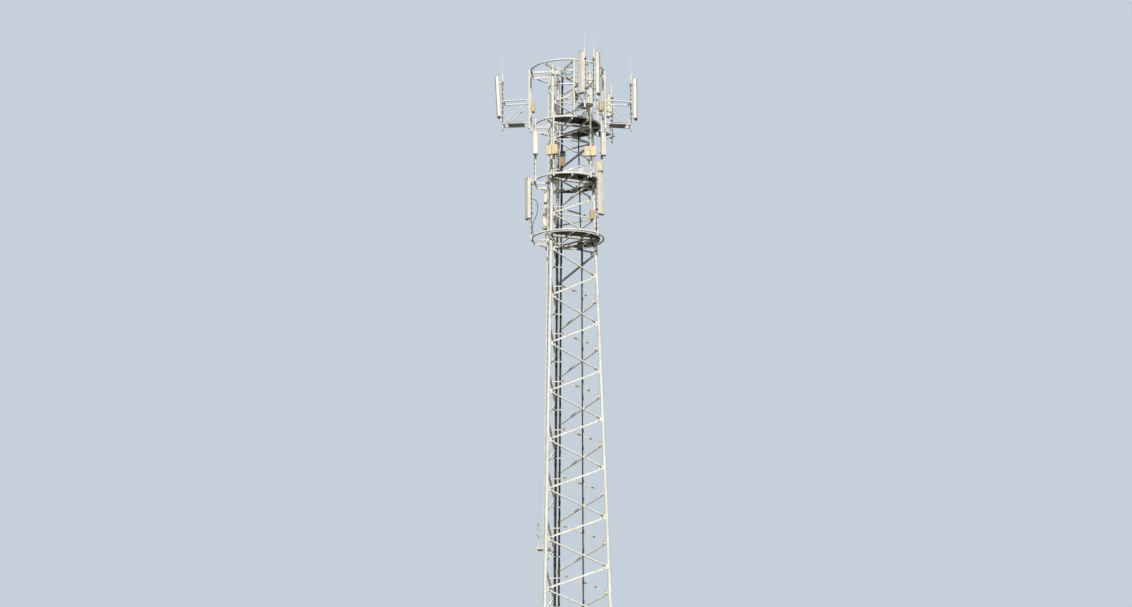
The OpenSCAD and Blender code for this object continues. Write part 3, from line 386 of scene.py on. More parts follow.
def braceNodes():
    # height and side, 0 or 1, of each node up the legs, below the waist and above it
    panels = int((tower["waist"] - brace["lowest"] - brace["panel"] / 2) / brace["panel"])
    low = [(brace["lowest"], (panels + 1) % 2)]
    low += [(tower["waist"] - k * brace["panel"], k % 2) for k in range(panels, -1, -1)]
    first = tower["waist"] + brace["headFirst"]
    span = brace["topNode"] - tower["waist"] - brace["headFirst"] - brace["headPanel"] / 4
    count = int(span / brace["headPanel"])
    high = [(tower["waist"], 0)]
    high += [(first + k * brace["headPanel"], (k + 1) % 2) for k in range(count + 1)]
    high.append((brace["topNode"], count % 2))
    return low, high


def braceBars(f):
    bars = []
    for head, nodes in enumerate(braceNodes()):
        for a, b in zip(nodes, nodes[1:]):
            first, last = (a, b) if a[1] == 0 else (b, a)
            bars.append((legPoint(f, first[0]), legPoint(f + 1, last[0]), faceNormal(f, bool(head))))
    return bars


# Bolts: two at each end of a bracing bar, and three at each thin strut of the head

boltSizes = {"head": 0.0135, "headHeight": 0.010, "washer": 0.017, "washerHeight": 0.003,
             "nutHeight": 0.013, "shank": 0.008, "tail": 0.010}
boltPlan = {"reaches": (0.03, 0.078), "offLine": 0.005, "strutFirst": 0.02, "strutLast": (0.03, 0.06),
            "strutScale": 0.85}


def scaledBolt(scale):
    return {key: value * scale for key, value in boltSizes.items()}


def addHexagon(heap, place, b, tall, turn, start=0.0):
    # a washer with a head or a nut on it
    top = b["washerHeight"] + tall
    addTurned(heap, place, [(b["washer"], start), (b["washer"], b["washerHeight"])], 12)
    addTurned(heap, place, [(b["head"], b["washerHeight"]), (b["head"], top)], 6, turn)
    return top


def addBolt(heap, spot, direction, grip, scale=1.0):
    # head at the spot, then back through the grip, nut and tail on the far side
    b = scaledBolt(scale)
    turn = random.uniform(0, math.pi / 3)
    addHexagon(heap, turnedTo(spot, direction), b, b["headHeight"], turn)
    back = turnedTo(spot - direction.normalized() * grip, -direction)
    top = addHexagon(heap, back, b, b["nutHeight"], turn)
    addTurned(heap, back, [(b["shank"], top), (b["shank"] * 0.9, top + b["tail"])], 8)


def makeBraceBolts():
    for f, name in enumerate(("front", "right", "left")):
        heap = newHeap()
        for start, end, normal in braceBars(f):
            along = (end - start).normalized()
            across = along.cross(normal)
            for base, direction in ((start, along), (end, -along)):
                for reach in boltPlan["reaches"]:
                    spot = base + direction * (brace["end"] + reach) - across * boltPlan["offLine"]
                    spot += normal * (brace["gusset"] / 2 + brace["thickness"])
                    addBolt(heap, spot, normal, brace["gusset"] + brace["thickness"])
        thick = brace["strutThickness"]
        for z in brace["strutLevels"]:
            ends = [sideAt(z) - brace["end"] - reach for reach in boltPlan["strutLast"]]
            for u in [brace["strutStart"] + boltPlan["strutFirst"]] + ends:
                addBolt(heap, facePoint(f, z, u, brace["gusset"] / 2 + thick), faceNormal(f, True),
                        brace["gusset"] + thick, boltPlan["strutScale"])
        makePiece(f"bracing_bolts_{name}", heap, [boltSteel])


# Camera at the photograph's place: in front of the tower, near the ground, and looking up

view = {"distance": 90.0, "eye": 2.0, "pitch": 14.275, "roll": -0.3, "sideways": -0.096,
        "focusPixels": 2256.0, "framePixels": 1132.0, "sensor": 36.0, "clip": (1.0, 2000.0)}


def makeCamera():
    data = bpy.data.cameras.new("view")
    data.sensor_width = view["sensor"]
    data.lens = view["sensor"] * view["focusPixels"] / view["framePixels"]
    data.clip_start, data.clip_end = view["clip"]
    camera = bpy.data.objects.new("view", data)
    bpy.context.collection.objects.link(camera)
    camera.location = axisSpot + Vector((view["sideways"], -view["distance"], view["eye"]))
    camera.rotation_mode = "QUATERNION"
    camera.rotation_quaternion = (spun(90 + view["pitch"], "X") @ spun(view["roll"], "Z")).to_quaternion()
    bpy.context.scene.camera = camera


# Soft daylight studio: a broad lamp from the front, a weak one from behind, and a world that is
# pale for the camera and dims towards the ground. Angles are in degrees.

light = {"lamps": {"broad_lamp": {"power": 3.9, "spread": 4.0, "tilt": 52.0, "turn": 2.0},
                   "back_lamp": {"power": 1.1, "spread": 25.0, "tilt": 58.0, "turn": 176.0}},
         "above": 0.34, "below": 0.03, "dimFrom": -0.35, "dimTo": 0.5, "backdrop": "#c5d0db",
         "floor": "#cfcec9", "floorRadius": 9.0, "floorThick": 0.3, "floorDrop": 0.001}


def makeLight():
    for name, lamp in light["lamps"].items():
        data = bpy.data.lights.new(name, "SUN")
        data.energy = lamp["power"]
        data.angle = math.radians(lamp["spread"])
        made = bpy.data.objects.new(name, data)
        made.rotation_euler = (math.radians(lamp["tilt"]), 0, math.radians(lamp["turn"]))
        bpy.context.collection.objects.link(made)
    world = bpy.data.worlds.new("studio")
    world.use_nodes = True
    bpy.context.scene.world = world
    tree = world.node_tree
    tree.nodes.clear()
    place = addNode(tree, "TexCoord").outputs["Generated"]
    height = addNode(tree, "SeparateXYZ", {"Vector": place}).outputs["Z"]
    level = addNode(tree, "MapRange", {
        "Value": height, "From Min": light["dimFrom"], "From Max": light["dimTo"],
        "To Min": light["below"], "To Max": light["above"]})
    dim = addNode(tree, "Background", {"Color": (1, 1, 1, 1), "Strength": level.outputs["Result"]})
    pale = addNode(tree, "Background", {"Color": colour(light["backdrop"]), "Strength": 1.0})
    path = addNode(tree, "LightPath").outputs
    seen = path["Is Camera Ray"]
    for kind in ("Is Glossy Ray", "Is Transmission Ray"):
        seen = addNode(tree, "Math", {0: seen, 1: path[kind]}, operation="MAXIMUM").outputs[0]
    mixed = addNode(tree, "MixShader", {0: seen, 1: dim.outputs[0], 2: pale.outputs[0]})
    addNode(tree, "OutputWorld", {"Surface": mixed.outputs[0]})


def makeFloor():
    heap = newHeap()
    profile = [(light["floorRadius"], -light["floorThick"]), (light["floorRadius"], -light["floorDrop"])]
    addTurned(heap, Matrix.Translation(axisSpot), profile, 128)
    mesh = bpy.data.meshes.new("studio_floor")
    mesh.from_pydata([tuple(p) for p in heap["points"]], [], heap["faces"])
    floor = bpy.data.objects.new("studio_floor", mesh)
    bpy.context.collection.objects.link(floor)
    mesh.materials.append(finishMaterial(startMaterial("plain_pale_floor")[0], {
        "Roughness": 0.9, "Base Color": colour(light["floor"])}))


makeCamera()
print("camera made")


# Jumper cables: a low loop from the gland on the lower left pole to the gland on the lowest ring,
# and three from the feeders' ends to the glands of the front outrigger's post. The points are
# metres, counted from the tower's axis on the ground

jumperLook = {"diameter": 0.026, "sides": 14, "steps": 12}
jumpers = {
    "jumper_low": {"length": 1.673, "route": [
        (-1.446, -0.365, 29.27), (-1.362, -0.365, 29.252), (-1.29, -0.365, 29.16), (-1.256, -0.365, 29.0),
        (-1.254, -0.365, 28.81), (-1.3, -0.365, 28.59), (-1.375, -0.365, 28.4), (-1.44, -0.365, 28.21),
        (-1.464, -0.365, 28.02), (-1.45, -0.365, 27.85), (-1.445, -0.365, 27.73)]},
    "jumper_top_long": {"length": 1.737, "route": [
        (-0.229, -0.158, 34.63), (-0.229, -0.158, 34.73), (-0.232, -0.22, 34.9), (-0.195, -0.37, 35.005),
        (-0.11, -0.53, 34.992), (-0.01, -0.76, 34.9), (0.09, -1.01, 34.81), (0.205, -1.25, 34.755),
        (0.275, -1.395, 34.75), (0.287, -1.49, 34.75)]},
    "jumper_top_middle": {"length": 1.681, "route": [
        (-0.201, -0.162, 34.63), (-0.201, -0.166, 34.726), (-0.2, -0.24, 34.83), (-0.15, -0.375, 34.852),
        (-0.085, -0.5, 34.78), (-0.01, -0.65, 34.66), (0.075, -0.86, 34.55), (0.16, -1.09, 34.502),
        (0.232, -1.27, 34.545), (0.276, -1.395, 34.593), (0.287, -1.49, 34.6)]},
    "jumper_top_short": {"length": 1.735, "route": [
        (-0.172, -0.165, 34.63), (-0.172, -0.171, 34.722), (-0.163, -0.25, 34.798), (-0.118, -0.375, 34.782),
        (-0.062, -0.5, 34.672), (0.0, -0.645, 34.52), (0.058, -0.8, 34.385), (0.118, -0.985, 34.29),
        (0.178, -1.155, 34.268), (0.238, -1.3, 34.322), (0.277, -1.4, 34.385), (0.287, -1.49, 34.4)]}
}


def makeJumpers():
    for name, jumper in jumpers.items():
        points = [axisSpot + Vector(point) for point in jumper["route"]]
        path = smoothPath(points, jumperLook["steps"])
        heap = newHeap()
        addSweep(heap, path, jumperLook["diameter"] / 2, jumperLook["sides"])
        piece = makePiece(name + "_cable", heap, [blackJacket], sharp=60)
        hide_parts(name)
        tuple(points[0])
        [tuple(point) for point in path]


makeJumpers()
print("jumper cables made")
makeLight()
makeFloor()
print("light and floor made")


# Materials of the CAD pieces that stay as they are, by how their names start. The outriggers'
# walkways are painted near black, as painted shade for their undersides seen from below

outriggerSteel = galvanisedSteel("zinc_dipped_outrigger_painted_shade_walkway", poleLook, {
    "centre": (axisSpot.x, axisSpot.y), "heights": (32.7515, 32.79), "reach": (1.8, 2.62),
    "dark": "#2b2a27", "base": "#47443e"})
finishes = {
    "leg": legSteel, "foot": legSteel, "bracing": braceSteel, "climbing_ladder": ladderSteel,
    "ladder_brackets": ladderSteel, "rest_platform": platformSteel, "cable_ladder": ladderSteel,
    "cable_rail": ladderSteel, "outrigger": outriggerSteel, "antenna": ivoryRadome, "radio": beigeCoat,
    "equipment": brownCoat, "feeder": blackJacket, "rail_cables": blackJacket, "jumper_glands": boltSteel,
    "jumper": blackJacket
}


def finishOf(name):
    for start, material in finishes.items():
        if name.startswith(start):
            return material
    if name.endswith("deck"):
        return gratingPaintedShade
    if name.endswith(("poles", "ring")):
        return poleSteel
    return ivoryRadome if "antenna" in name else platformSteel


for nodeName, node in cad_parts.items():
    node.data.materials.clear()
    node.data.materials.append(finishOf(nodeName))
print("frame dressed")


# Poles, antennas and units of the head. Angles are degrees from +X, heights are over the ground

ringLevel = {"lower": 27.65, "middle": 30.1, "upper": 32.55, "top": 35.0}
pole = {"radius": 0.042, "ringTube": 0.038, "outer": 2.75, "middle": 1.4653, "lower": 1.5703,
        "post": 1.5827}


def upright(turn, radius, shift=0.0):
    return axisSpot + spun(turn, "Z", 3) @ Vector((radius, shift, 0))


def facingPlace(foot, facing, z, forward=0.0, lean=0.0):
    return Matrix.Translation(foot) @ spun(facing, "Z") @ moved(forward, 0, z) @ spun(lean, "Y")


antennaLook = {"depth": 0.14, "corner": 0.032, "cap": 0.034, "capStep": 0.003, "portRadius": 0.015,
               "portLength": 0.038, "armShares": (0.15, 0.85), "screwShares": (0.3, 0.7),
               "creaseShare": 0.32, "creaseWide": 0.006, "creaseProud": 0.0012, "headInset": 0.014,
               "rim": ((0.0, 0.012), (0.003, 0.005), (0.01, 0.0)),
               "screw": ((0.006, -0.001), (0.006, 0.0015), (0.004, 0.0025)),
               "neck": ((0.8, 0.001), (0.8, -0.007)), "nut": (-0.007, 0.62),
               "plug": ((0.86, 0.6), (0.86, 0.8), (0.7, 1.0))}
tallPanel = {"height": 1.82, "width": 0.3, "gap": 0.07, "lean": 0, "ports": 4, "ring": "upper"}
shortPanel = like(tallPanel, height=1.05, width=0.21, ports=2)
antennas = {
    "antenna_left": like(tallPanel, foot=upright(173.7, pole["outer"]), facing=187, base=33.085,
                         gap=0.03, lean=3.8),
    "antenna_front_left": like(tallPanel, foot=upright(-70.7, pole["outer"], -0.2), facing=-140, base=33.045),
    "antenna_front_right": like(tallPanel, foot=upright(-70.7, pole["outer"], 0.2), facing=-15, base=33.07),
    "antenna_right": like(tallPanel, foot=upright(10.2, pole["outer"]), facing=-10, base=33.025),
    "antenna_rear": like(shortPanel, foot=upright(46, pole["outer"]), facing=210, base=33.62, gap=0.055),
    "short_antenna_left": like(shortPanel, foot=upright(205, pole["middle"]), facing=-90, base=31.09,
                               gap=0.045, ring="middle"),
    "short_antenna_right": like(shortPanel, foot=upright(-12, pole["middle"]), facing=-62, base=31.13,
                                gap=0.03, ring="middle"),
    "lower_antenna_left": like(tallPanel, foot=upright(193, pole["lower"]), facing=207, base=28.4,
                               gap=0.03, height=1.79, ring="lower"),
    "lower_antenna_right": like(tallPanel, foot=upright(-39, pole["lower"]), facing=-42, base=28.37,
                                gap=0.09, ring="lower"),
    "lower_antenna_rear": like(tallPanel, foot=upright(125.5, pole["lower"]), facing=-90, base=28.4,
                               gap=0.055, height=0.87, width=0.31, ports=0, ring="lower",
                               upper={"depth": 0.1, "width": 0.17, "height": 0.75, "corner": 0.03})
}


def addRadome(heap, place, depth, width, height, corner, ports):
    cap, step = antennaLook["cap"], antennaLook["capStep"]
    rings = [*antennaLook["rim"], (cap, 0.0), (cap, step)]
    addRounded(heap, place, depth, width, corner, rings)
    tagFaces(heap, 1)
    addRounded(heap, place, depth, width, corner, ((cap, step), (height - cap, step)))
    # a shallow crease down each side, where the shell's halves meet
    crease, proud = depth * antennaLook["creaseShare"], antennaLook["creaseProud"]
    for side in (-1, 1):
        y = side * (width / 2 - step)
        addBlock(heap, place, (crease, y - proud, cap),
                 (crease + antennaLook["creaseWide"], y + proud, height - cap))
    tagFaces(heap, 0)
    # the head's cap is the foot's turned over, a little more rounded at its rim
    head = [(height - z, inset) for z, inset in [(0.0, antennaLook["headInset"])] + rings[1:]]
    addRounded(heap, place, depth, width, corner, head[::-1])
    tagFaces(heap, 1)
    for z in (cap / 2, height - cap / 2):
        for side in (-1, 1):
            for share in antennaLook["screwShares"]:
                addTurned(heap, place @ moved(depth * share, side * width / 2, z) @ spun(-90 * side, "X"),
                          antennaLook["screw"], 10)
    tagFaces(heap, 2)
    for k in range(ports):
        spot = place @ moved(depth / 2, (k - (ports - 1) / 2) * width / (ports + 1), 0)
        r, drop = antennaLook["portRadius"], antennaLook["portLength"]
        nutTop, nutShare = antennaLook["nut"]
        addTurned(heap, spot, [(r * wide, z) for wide, z in antennaLook["neck"]], 20)
        addTurned(heap, spot, [(r, nutTop), (r, -drop * nutShare)], 6)
        tagFaces(heap, 2)
        addTurned(heap, spot, [(r * wide, -drop * share) for wide, share in antennaLook["plug"]], 16)
        tagFaces(heap, 3)


clampLook = {"gap": 0.012, "frontGap": 0.002, "plate": 0.01, "half": 0.028, "wing": 0.03,
             "rodAway": 0.016, "rod": 0.006, "rodEnds": (0.034, 0.03), "nut": 0.0115, "nutTall": 0.01,
             "padHalf": 0.034, "padThick": 0.006}


def addClamp(heap, foot, facing, z):
    # two saddle plates drawn together round the pole by a pair of threaded rods
    place = facingPlace(foot, facing, z)
    r, c = pole["radius"], clampLook
    for x in (-r - c["gap"], r + c["frontGap"]):
        addBlock(heap, place, (x, -r - c["wing"], -c["half"]), (x + c["plate"], r + c["wing"], c["half"]))
    for side in (-1, 1):
        rod = place @ moved(0, side * (r + c["rodAway"]), 0) @ spun(90, "Y")
        addTurned(heap, rod, [(c["rod"], -r - c["rodEnds"][0]), (c["rod"], r + c["rodEnds"][1])], 10)
        for x, end in ((-r - c["gap"], -1), (r + c["gap"], 1)):
            nut = [(c["nut"], x), (c["nut"], x + end * c["nutTall"])]
            addTurned(heap, rod, nut if end > 0 else nut[::-1], 6)
    addBlock(heap, place, (r + c["gap"], -c["padHalf"], -c["padHalf"]),
             (r + c["gap"] + c["padThick"], c["padHalf"], c["padHalf"]))
    tagFaces(heap, 0)


def makeAntennas():
    clamps = newHeap()
    for name, a in antennas.items():
        heap = newHeap()
        place = facingPlace(a["foot"], a["facing"], a["base"], pole["radius"] + a["gap"], a["lean"])
        addRadome(heap, place, antennaLook["depth"], a["width"], a["height"], antennaLook["corner"],
                  a["ports"])
        if "upper" in a:
            addRadome(heap, place @ moved(0, 0, a["height"]), ports=0, **a["upper"])
        piece = makePiece(name + "_panel", heap, [ivoryRadome, capPlastic, boltSteel, blackPlastic],
                          sharp=40)
        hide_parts(name)
        for share in antennaLook["armShares"]:
            addClamp(clamps, a["foot"], a["facing"], a["base"] + a["height"] * share)
    makePiece("antenna_clamps", clamps, [boltSteel])


# Radio units: a ribbed casting with a plain cover, a carrying bar and plugs underneath

unitLook = {"height": 0.41, "width": 0.24, "depth": 0.15, "corner": 0.014, "gap": 0.03,
            "finStep": 0.0125, "finThick": 0.003, "finEnd": 0.022, "finBack": 0.006, "finEdge": 0.002,
            "ribStep": 0.016, "ribEdge": 0.014, "ribHalf": 0.0015, "ribEnd": 0.03, "ribDeep": 0.014,
            "cover": 0.032, "coreInset": 0.012, "coreNarrow": 0.034, "coreCorner": 0.008, "bevel": 0.003,
            "coverRim": ((0.0, 0.006), (0.004, 0.0)), "screwIn": (0.022, 0.03),
            "screw": ((0.006, -0.001), (0.006, 0.002), (0.004, 0.003)), "handleShare": 0.35,
            "handleHalf": 0.07, "handleRise": (-0.02, 0.002), "handleThick": 0.005, "plugs": 4,
            "plugStep": 0.05, "plugShare": 0.5,
            "plug": ((0.013, 0.003), (0.013, -0.01), (0.011, -0.012), (0.011, -0.03), (0.007, -0.05)),
            "postReach": 0.0883, "postPad": ((-0.044, -0.03, 0.16), (0.013, 0.03, 0.22))}


def addUnit(heap, place):
    u = unitLook
    h, w, d, cover, core = u["height"], u["width"], u["depth"], u["cover"], u["coreInset"]
    bevel, corner = u["bevel"], u["coreCorner"]
    addRounded(heap, place @ moved(core, 0, 0), d - cover - corner, w - u["coreNarrow"], corner,
               ((core, bevel), (core + bevel, 0.0), (h - core - bevel, 0.0), (h - core, bevel)))
    for k in range(int((d - cover - core) / u["finStep"])):
        x = u["finBack"] + k * u["finStep"]
        addBlock(heap, place, (x, -w / 2 + u["finEdge"], u["finEnd"]),
                 (x + u["finThick"], w / 2 - u["finEdge"], h - u["finEnd"]))
    across = int(w / u["ribStep"])
    for k in range(across):
        y = -w / 2 + u["ribEdge"] + k * (w - 2 * u["ribEdge"]) / (across - 1)
        addBlock(heap, place, (0.0, y - u["ribHalf"], u["ribEnd"]),
                 (u["ribDeep"], y + u["ribHalf"], h - u["ribEnd"]))
    tagFaces(heap, 0)
    rim = [*u["coverRim"], *((h - z, inset) for z, inset in reversed(u["coverRim"]))]
    addRounded(heap, place @ moved(d - cover, 0, 0), cover, w, u["corner"], rim, 4)
    tagFaces(heap, 1)
    inward, upward = u["screwIn"]
    for side in (-1, 1):
        for z in (upward, h - upward):
            addTurned(heap, place @ moved(d, side * (w / 2 - inward), z) @ spun(90, "Y"), u["screw"], 8)
    low, high = u["handleRise"]
    handle = [place @ Vector((d * u["handleShare"], side * u["handleHalf"], h + rise))
              for side, rise in ((-1, low), (-1, high), (1, high), (1, low))]
    addSweep(heap, smoothPath(handle, 4), u["handleThick"], 8)
    tagFaces(heap, 2)
    for k in range(u["plugs"]):
        spot = moved(d * u["plugShare"], (k - (u["plugs"] - 1) / 2) * u["plugStep"], core)
        addTurned(heap, place @ spot, u["plug"], 12)
    tagFaces(heap, 3)


unitPairs = ((247, 247), (-49, -95))     # turn of the pole, and the way its pair of units faces
units = {
    "radio_units_middle": [
        {"foot": upright(turn, pole["middle"]), "facing": facing, "base": 30.855, "side": side * 0.132}
        for turn, facing in unitPairs for side in (-1, 1)
    ] + [{"foot": upright(-12, pole["middle"]), "facing": -102, "base": 30.46, "side": -0.055}],
    "radio_units_lower": [{"foot": upright(-39, pole["lower"]), "facing": -160, "base": 28.195,
                           "side": -0.06, "gap": 0.095}],
    "radio_unit_upper": [
        {"foot": upright(turn, pole["post"], shift), "facing": facing, "base": base, "post": True}
        for turn, shift, facing, base in
        ((173.7, 0.25, 353.7, 33.17), (-70.7, -0.25, 75, 33.25), (10.2, -0.25, 190.2, 33.24))]
}


def makeUnits():
    for name, spots in units.items():
        heap = newHeap()
        for spot in spots:
            post = spot.get("post")
            forward = unitLook["postReach"] if post else pole["radius"] + spot.get("gap", unitLook["gap"])
            place = facingPlace(spot["foot"], spot["facing"], spot["base"], forward)
            place = place @ moved(0, spot.get("side", 0), 0)
            addUnit(heap, place)
            if post:
                addBlock(heap, place, *unitLook["postPad"])
                tagFaces(heap, 2)
        piece = makePiece(name + "_housing", heap, [beigeCoat, paleCoat, boltSteel, blackPlastic],
                          sharp=40)
        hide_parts(name)


# Control cables strapped flat along the antennas' poles, and thicker ones along the two poles
# that carry the pairs of radio units. They end at their pole

strapLook = {"thin": 0.0045, "thick": 0.007, "pitch": 0.21, "tall": 0.018, "proud": 0.0012,
             "sides": 10, "spacing": 2.04, "bandPoints": 28, "slack": 0.0004, "wrap": 8, "fade": 0.35,
             "rise": 0.08, "riseUpper": 0.2, "topShare": 0.9, "count": 3, "unitTop": 30.83,
             "unitTurn": 50, "unitCount": 4}


def addStrapped(heap, foot, turn, low, high, count, radius):
    # parallel cables on the pole's skin, with bands round pole and cables
    reach = pole["radius"] + radius
    step = math.degrees(strapLook["spacing"] * radius / reach)
    for k in range(count):
        base = foot + polar(reach, math.radians(turn + (k - (count - 1) / 2) * step))
        addSweep(heap, [base + Vector((0, 0, z)) for z in (low, high)], radius, strapLook["sides"])
    tagFaces(heap, 0)
    # a band hugs the pole and bulges over the cables
    spread = math.radians(step * count / 2 + strapLook["wrap"])
    band = []
    for k in range(strapLook["bandPoints"]):
        a = 2 * math.pi * k / strapLook["bandPoints"]
        off = abs((a + math.pi) % (2 * math.pi) - math.pi)
        lift = 1 if off < spread else max(0, 1 - (off - spread) / strapLook["fade"])
        band.append((pole["radius"] + strapLook["slack"] + lift * 2 * radius, a + math.radians(turn)))
    half, proud = strapLook["tall"] / 2, strapLook["proud"]
    z = low + strapLook["pitch"] / 2
    while z < high:
        addLoft(heap, Matrix.Identity(4), [
            [(foot.x + (r + grow) * math.cos(a), foot.y + (r + grow) * math.sin(a), level) for r, a in band]
            for level, grow in ((z - half, 0.0), (z - half, proud), (z + half, proud), (z + half, 0.0))])
        tagFaces(heap, 1)
        z += strapLook["pitch"]


def nearSide(facing):
    # of the two sides of a pole square to this facing, the one nearer the camera
    return min((facing - 90, facing + 90), key=lambda turn: math.sin(math.radians(turn)))


def makeStrapped():
    heap = newHeap()
    for a in antennas.values():
        low = ringLevel[a["ring"]] + strapLook["riseUpper" if a["ring"] == "upper" else "rise"]
        high = a["base"] + a["height"] * strapLook["topShare"]
        addStrapped(heap, a["foot"], nearSide(a["facing"]), low, high, strapLook["count"], strapLook["thin"])
    for turn, facing in unitPairs:
        addStrapped(heap, upright(turn, pole["middle"]), nearSide(facing) + strapLook["unitTurn"],
                    ringLevel["middle"] + strapLook["rise"], strapLook["unitTop"], strapLook["unitCount"],
                    strapLook["thick"])
    makePiece("strapped_cables", heap, [blackJacket, blackPlastic], sharp=50)


# Bolts of the beam collars and of the sleeves at the waist

collar = {"reach": 0.0845, "beamDrop": 0.0833, "turns": (-50, 50, 130, 230), "rise": 0.026,
          "boltScale": 0.9, "sleeve": 0.0765, "sleeveRise": 0.055, "sleeveScale": 0.8}


def addHead(heap, spot, direction, scale):
    b = scaledBolt(scale)
    addHexagon(heap, turnedTo(spot, direction), b, b["headHeight"], random.uniform(0, 1), -0.001)


def makeCollarBolts():
    heap = newHeap()
    for level in ringLevel.values():
        for i in range(3):
            for turn in collar["turns"]:
                for rise in (-collar["rise"], collar["rise"]):
                    z = level - collar["beamDrop"] + rise
                    direction = polar(1, legAngles[i] + math.radians(turn))
                    spot = legPoint(i, z) + collar["reach"] * direction
                    addHead(heap, spot, direction, collar["boltScale"])
    for i in range(3):
        for k in range(6):
            for rise in (-collar["sleeveRise"], collar["sleeveRise"]):
                direction = polar(1, legAngles[i] + math.radians(60 * k + 30))
                spot = legPoint(i, tower["waist"] + rise) + collar["sleeve"] * direction
                addHead(heap, spot, direction, collar["sleeveScale"])
    makePiece("collar_bolts", heap, [boltSteel])


# Decks: bearing bars parallel to the front face, cross rods, a border bar and a toe board

deckLook = {"radius": 1.385, "barStep": 0.036, "barThick": 0.004, "tall": 0.03, "rodStep": 0.1,
            "rod": 0.006, "rodSunk": (0.008, 0.001), "border": 0.006, "borderGap": 0.0005, "toe": 0.11,
            "toeThick": 0.008, "toeSteps": 240, "edgeGap": 0.004, "seat": 0.0003, "faceGap": 0.086,
            "leftGap": 0.006, "legGap": 0.096, "searchStep": 0.02, "shortest": 0.02}


def deckShape(level):
    side = sideAt(level)
    apothem = side / (2 * math.sqrt(3))
    faces = [polar(1, a + math.pi / 3).to_2d() for a in legAngles]
    legs = [polar(side / math.sqrt(3), a).to_2d() for a in legAngles]
    edge = deckLook["radius"] - pole["ringTube"] - deckLook["edgeGap"]

    def inside(x, y):
        spot = Vector((x, y))
        if spot.length > edge or faces[2].dot(spot) - apothem > -deckLook["leftGap"]:
            return False
        if max(faces[f].dot(spot) - apothem for f in (0, 1)) < deckLook["faceGap"]:
            return False
        return all((spot - leg).length > deckLook["legGap"] for leg in legs)
    return inside, edge, apothem, faces


def insideRuns(inside, start, end):
    # parts of the line from start to end that lie inside, found by steps and then halved
    count = max(2, int((end - start).length / deckLook["searchStep"]))
    spots = [start.lerp(end, k / count) for k in range(count + 1)]
    held = [inside(*p) for p in spots]

    def edgeBetween(a, b, first):
        for _ in range(8):
            mid = (a + b) / 2
            if inside(*mid) == first:
                a = mid
            else:
                b = mid
        return (a + b) / 2

    runs, began = [], spots[0] if held[0] else None
    for k in range(1, count + 1):
        if held[k] and not held[k - 1]:
            began = edgeBetween(spots[k - 1], spots[k], False)
        if held[k - 1] and not held[k]:
            runs.append((began, edgeBetween(spots[k - 1], spots[k], True)))
    if held[-1]:
        runs.append((began, spots[-1]))
    return [(a, b) for a, b in runs if (b - a).length > deckLook["shortest"]]


def makeDeck(name, level):
    look = deckLook
    heap = newHeap()
    inside, edge, apothem, faces = deckShape(level)
    base = level - pole["ringTube"] - look["seat"]
    along = alongFace(0).to_2d()
    across = Vector((-along.y, along.x))

    def bar(a, b, thick, low, high):
        d = (b - a).normalized()
        place = axesAt(d.to_3d(), Vector((-d.y, d.x, 0)), Vector((0, 0, 1)), axisSpot + a.to_3d())
        addBlock(heap, place, (0, -thick / 2, base + low), ((b - a).length, thick / 2, base + high))

    def barsAlong(middle, t, thick, low, high):
        for a, b in insideRuns(inside, middle - edge * t, middle + edge * t):
            bar(a, b, thick, low, high)

    sunk = [look["tall"] - drop for drop in look["rodSunk"]]
    for step, over, t, thick, low, high in (
            (look["barStep"], across, along, look["barThick"], 0.0, look["tall"]),
            (look["rodStep"], along, across, look["rod"], *sunk)):
        lines = int(2 * edge / step)
        for k in range(lines + 1):
            barsAlong((k - lines / 2) * step * over, t, thick, low, high)
    for n in faces[:2]:
        out = apothem + look["faceGap"] + look["border"] / 2 + look["borderGap"]
        barsAlong(n * out, Vector((-n.y, n.x)), look["border"], 0.0, look["tall"])
    tagFaces(heap, 0)
    n = faces[2]
    barsAlong(n * (apothem - look["leftGap"] - look["border"]), Vector((-n.y, n.x)), look["border"],
              0.0, look["toe"])
    # the toe board follows the deck's round edge
    steps = look["toeSteps"]
    spots = [(edge - look["toeThick"] / 2) * polar(1, 2 * math.pi * k / steps).to_2d() for k in range(steps)]
    held = [inside(*p) for p in spots]
    first = held.index(False)
    run = []
    for k in [(first + k) % steps for k in range(steps)] + [first]:
        if held[k]:
            run.append(spots[k])
            continue
        if len(run) > 2:
            for a, b in zip(run, run[1:]):
                bar(a, b, look["toeThick"], 0.0, look["toe"])
        run = []
    tagFaces(heap, 1)
    # the bars take the near-black grating zinc, which is painted shade; the toe board keeps the pale platform
    # zinc
    piece = makePiece(name + "_grating", heap, [gratingPaintedShade, platformSteel])
    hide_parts(name)


# Feeder cables: three at each rail of the cable ladder, two on the slim rail at the rear face
# and two risers above its box. Steel hangers hold them, and between two hangers they belly a little

cableRun = {"radius": 0.014, "step": 0.0283, "sides": 14, "pointEvery": 0.3, "belly": 0.003,
            "hangerEvery": 0.9, "hangerTall": 0.022, "hangerThick": 0.003, "hangerEdge": 0.004,
            "bolt": 0.008, "boltTall": 0.007, "lastGap": 0.1}
ladderRun = {"width": 0.26, "first": 0.0203, "deep": -0.0143, "foot": 0.48, "top": 34.59,
             "shortTop": 28.3, "inset": (0.24, 0.1), "shift": 0.2}
railRun = {"foot": 0.51, "over": 0.269, "shift": (-0.1, 0.312), "in": -0.0543}
riserRun = {"foot": 27.572, "top": 32.5117, "shift": (0.29, 0.242), "in": -0.073}


def ladderPoint(z, s, deep=0.0):
    foot, head = ladderRun["inset"]
    inset = foot + (head - foot) * min(z / tower["waist"], 1)
    return facePoint(2, z, sideAt(z) / 2 + ladderRun["shift"] + deep, -inset - s)


def railPoint(z, s, w):
    low, high = railRun["shift"]
    level = min(z, tower["waist"] - 0.001)
    spot = facePoint(1, level, sideAt(level) / 2 + s - low - (high - low) * level / tower["waist"], w)
    return spot + Vector((0, 0, z - level)) if z > level else spot


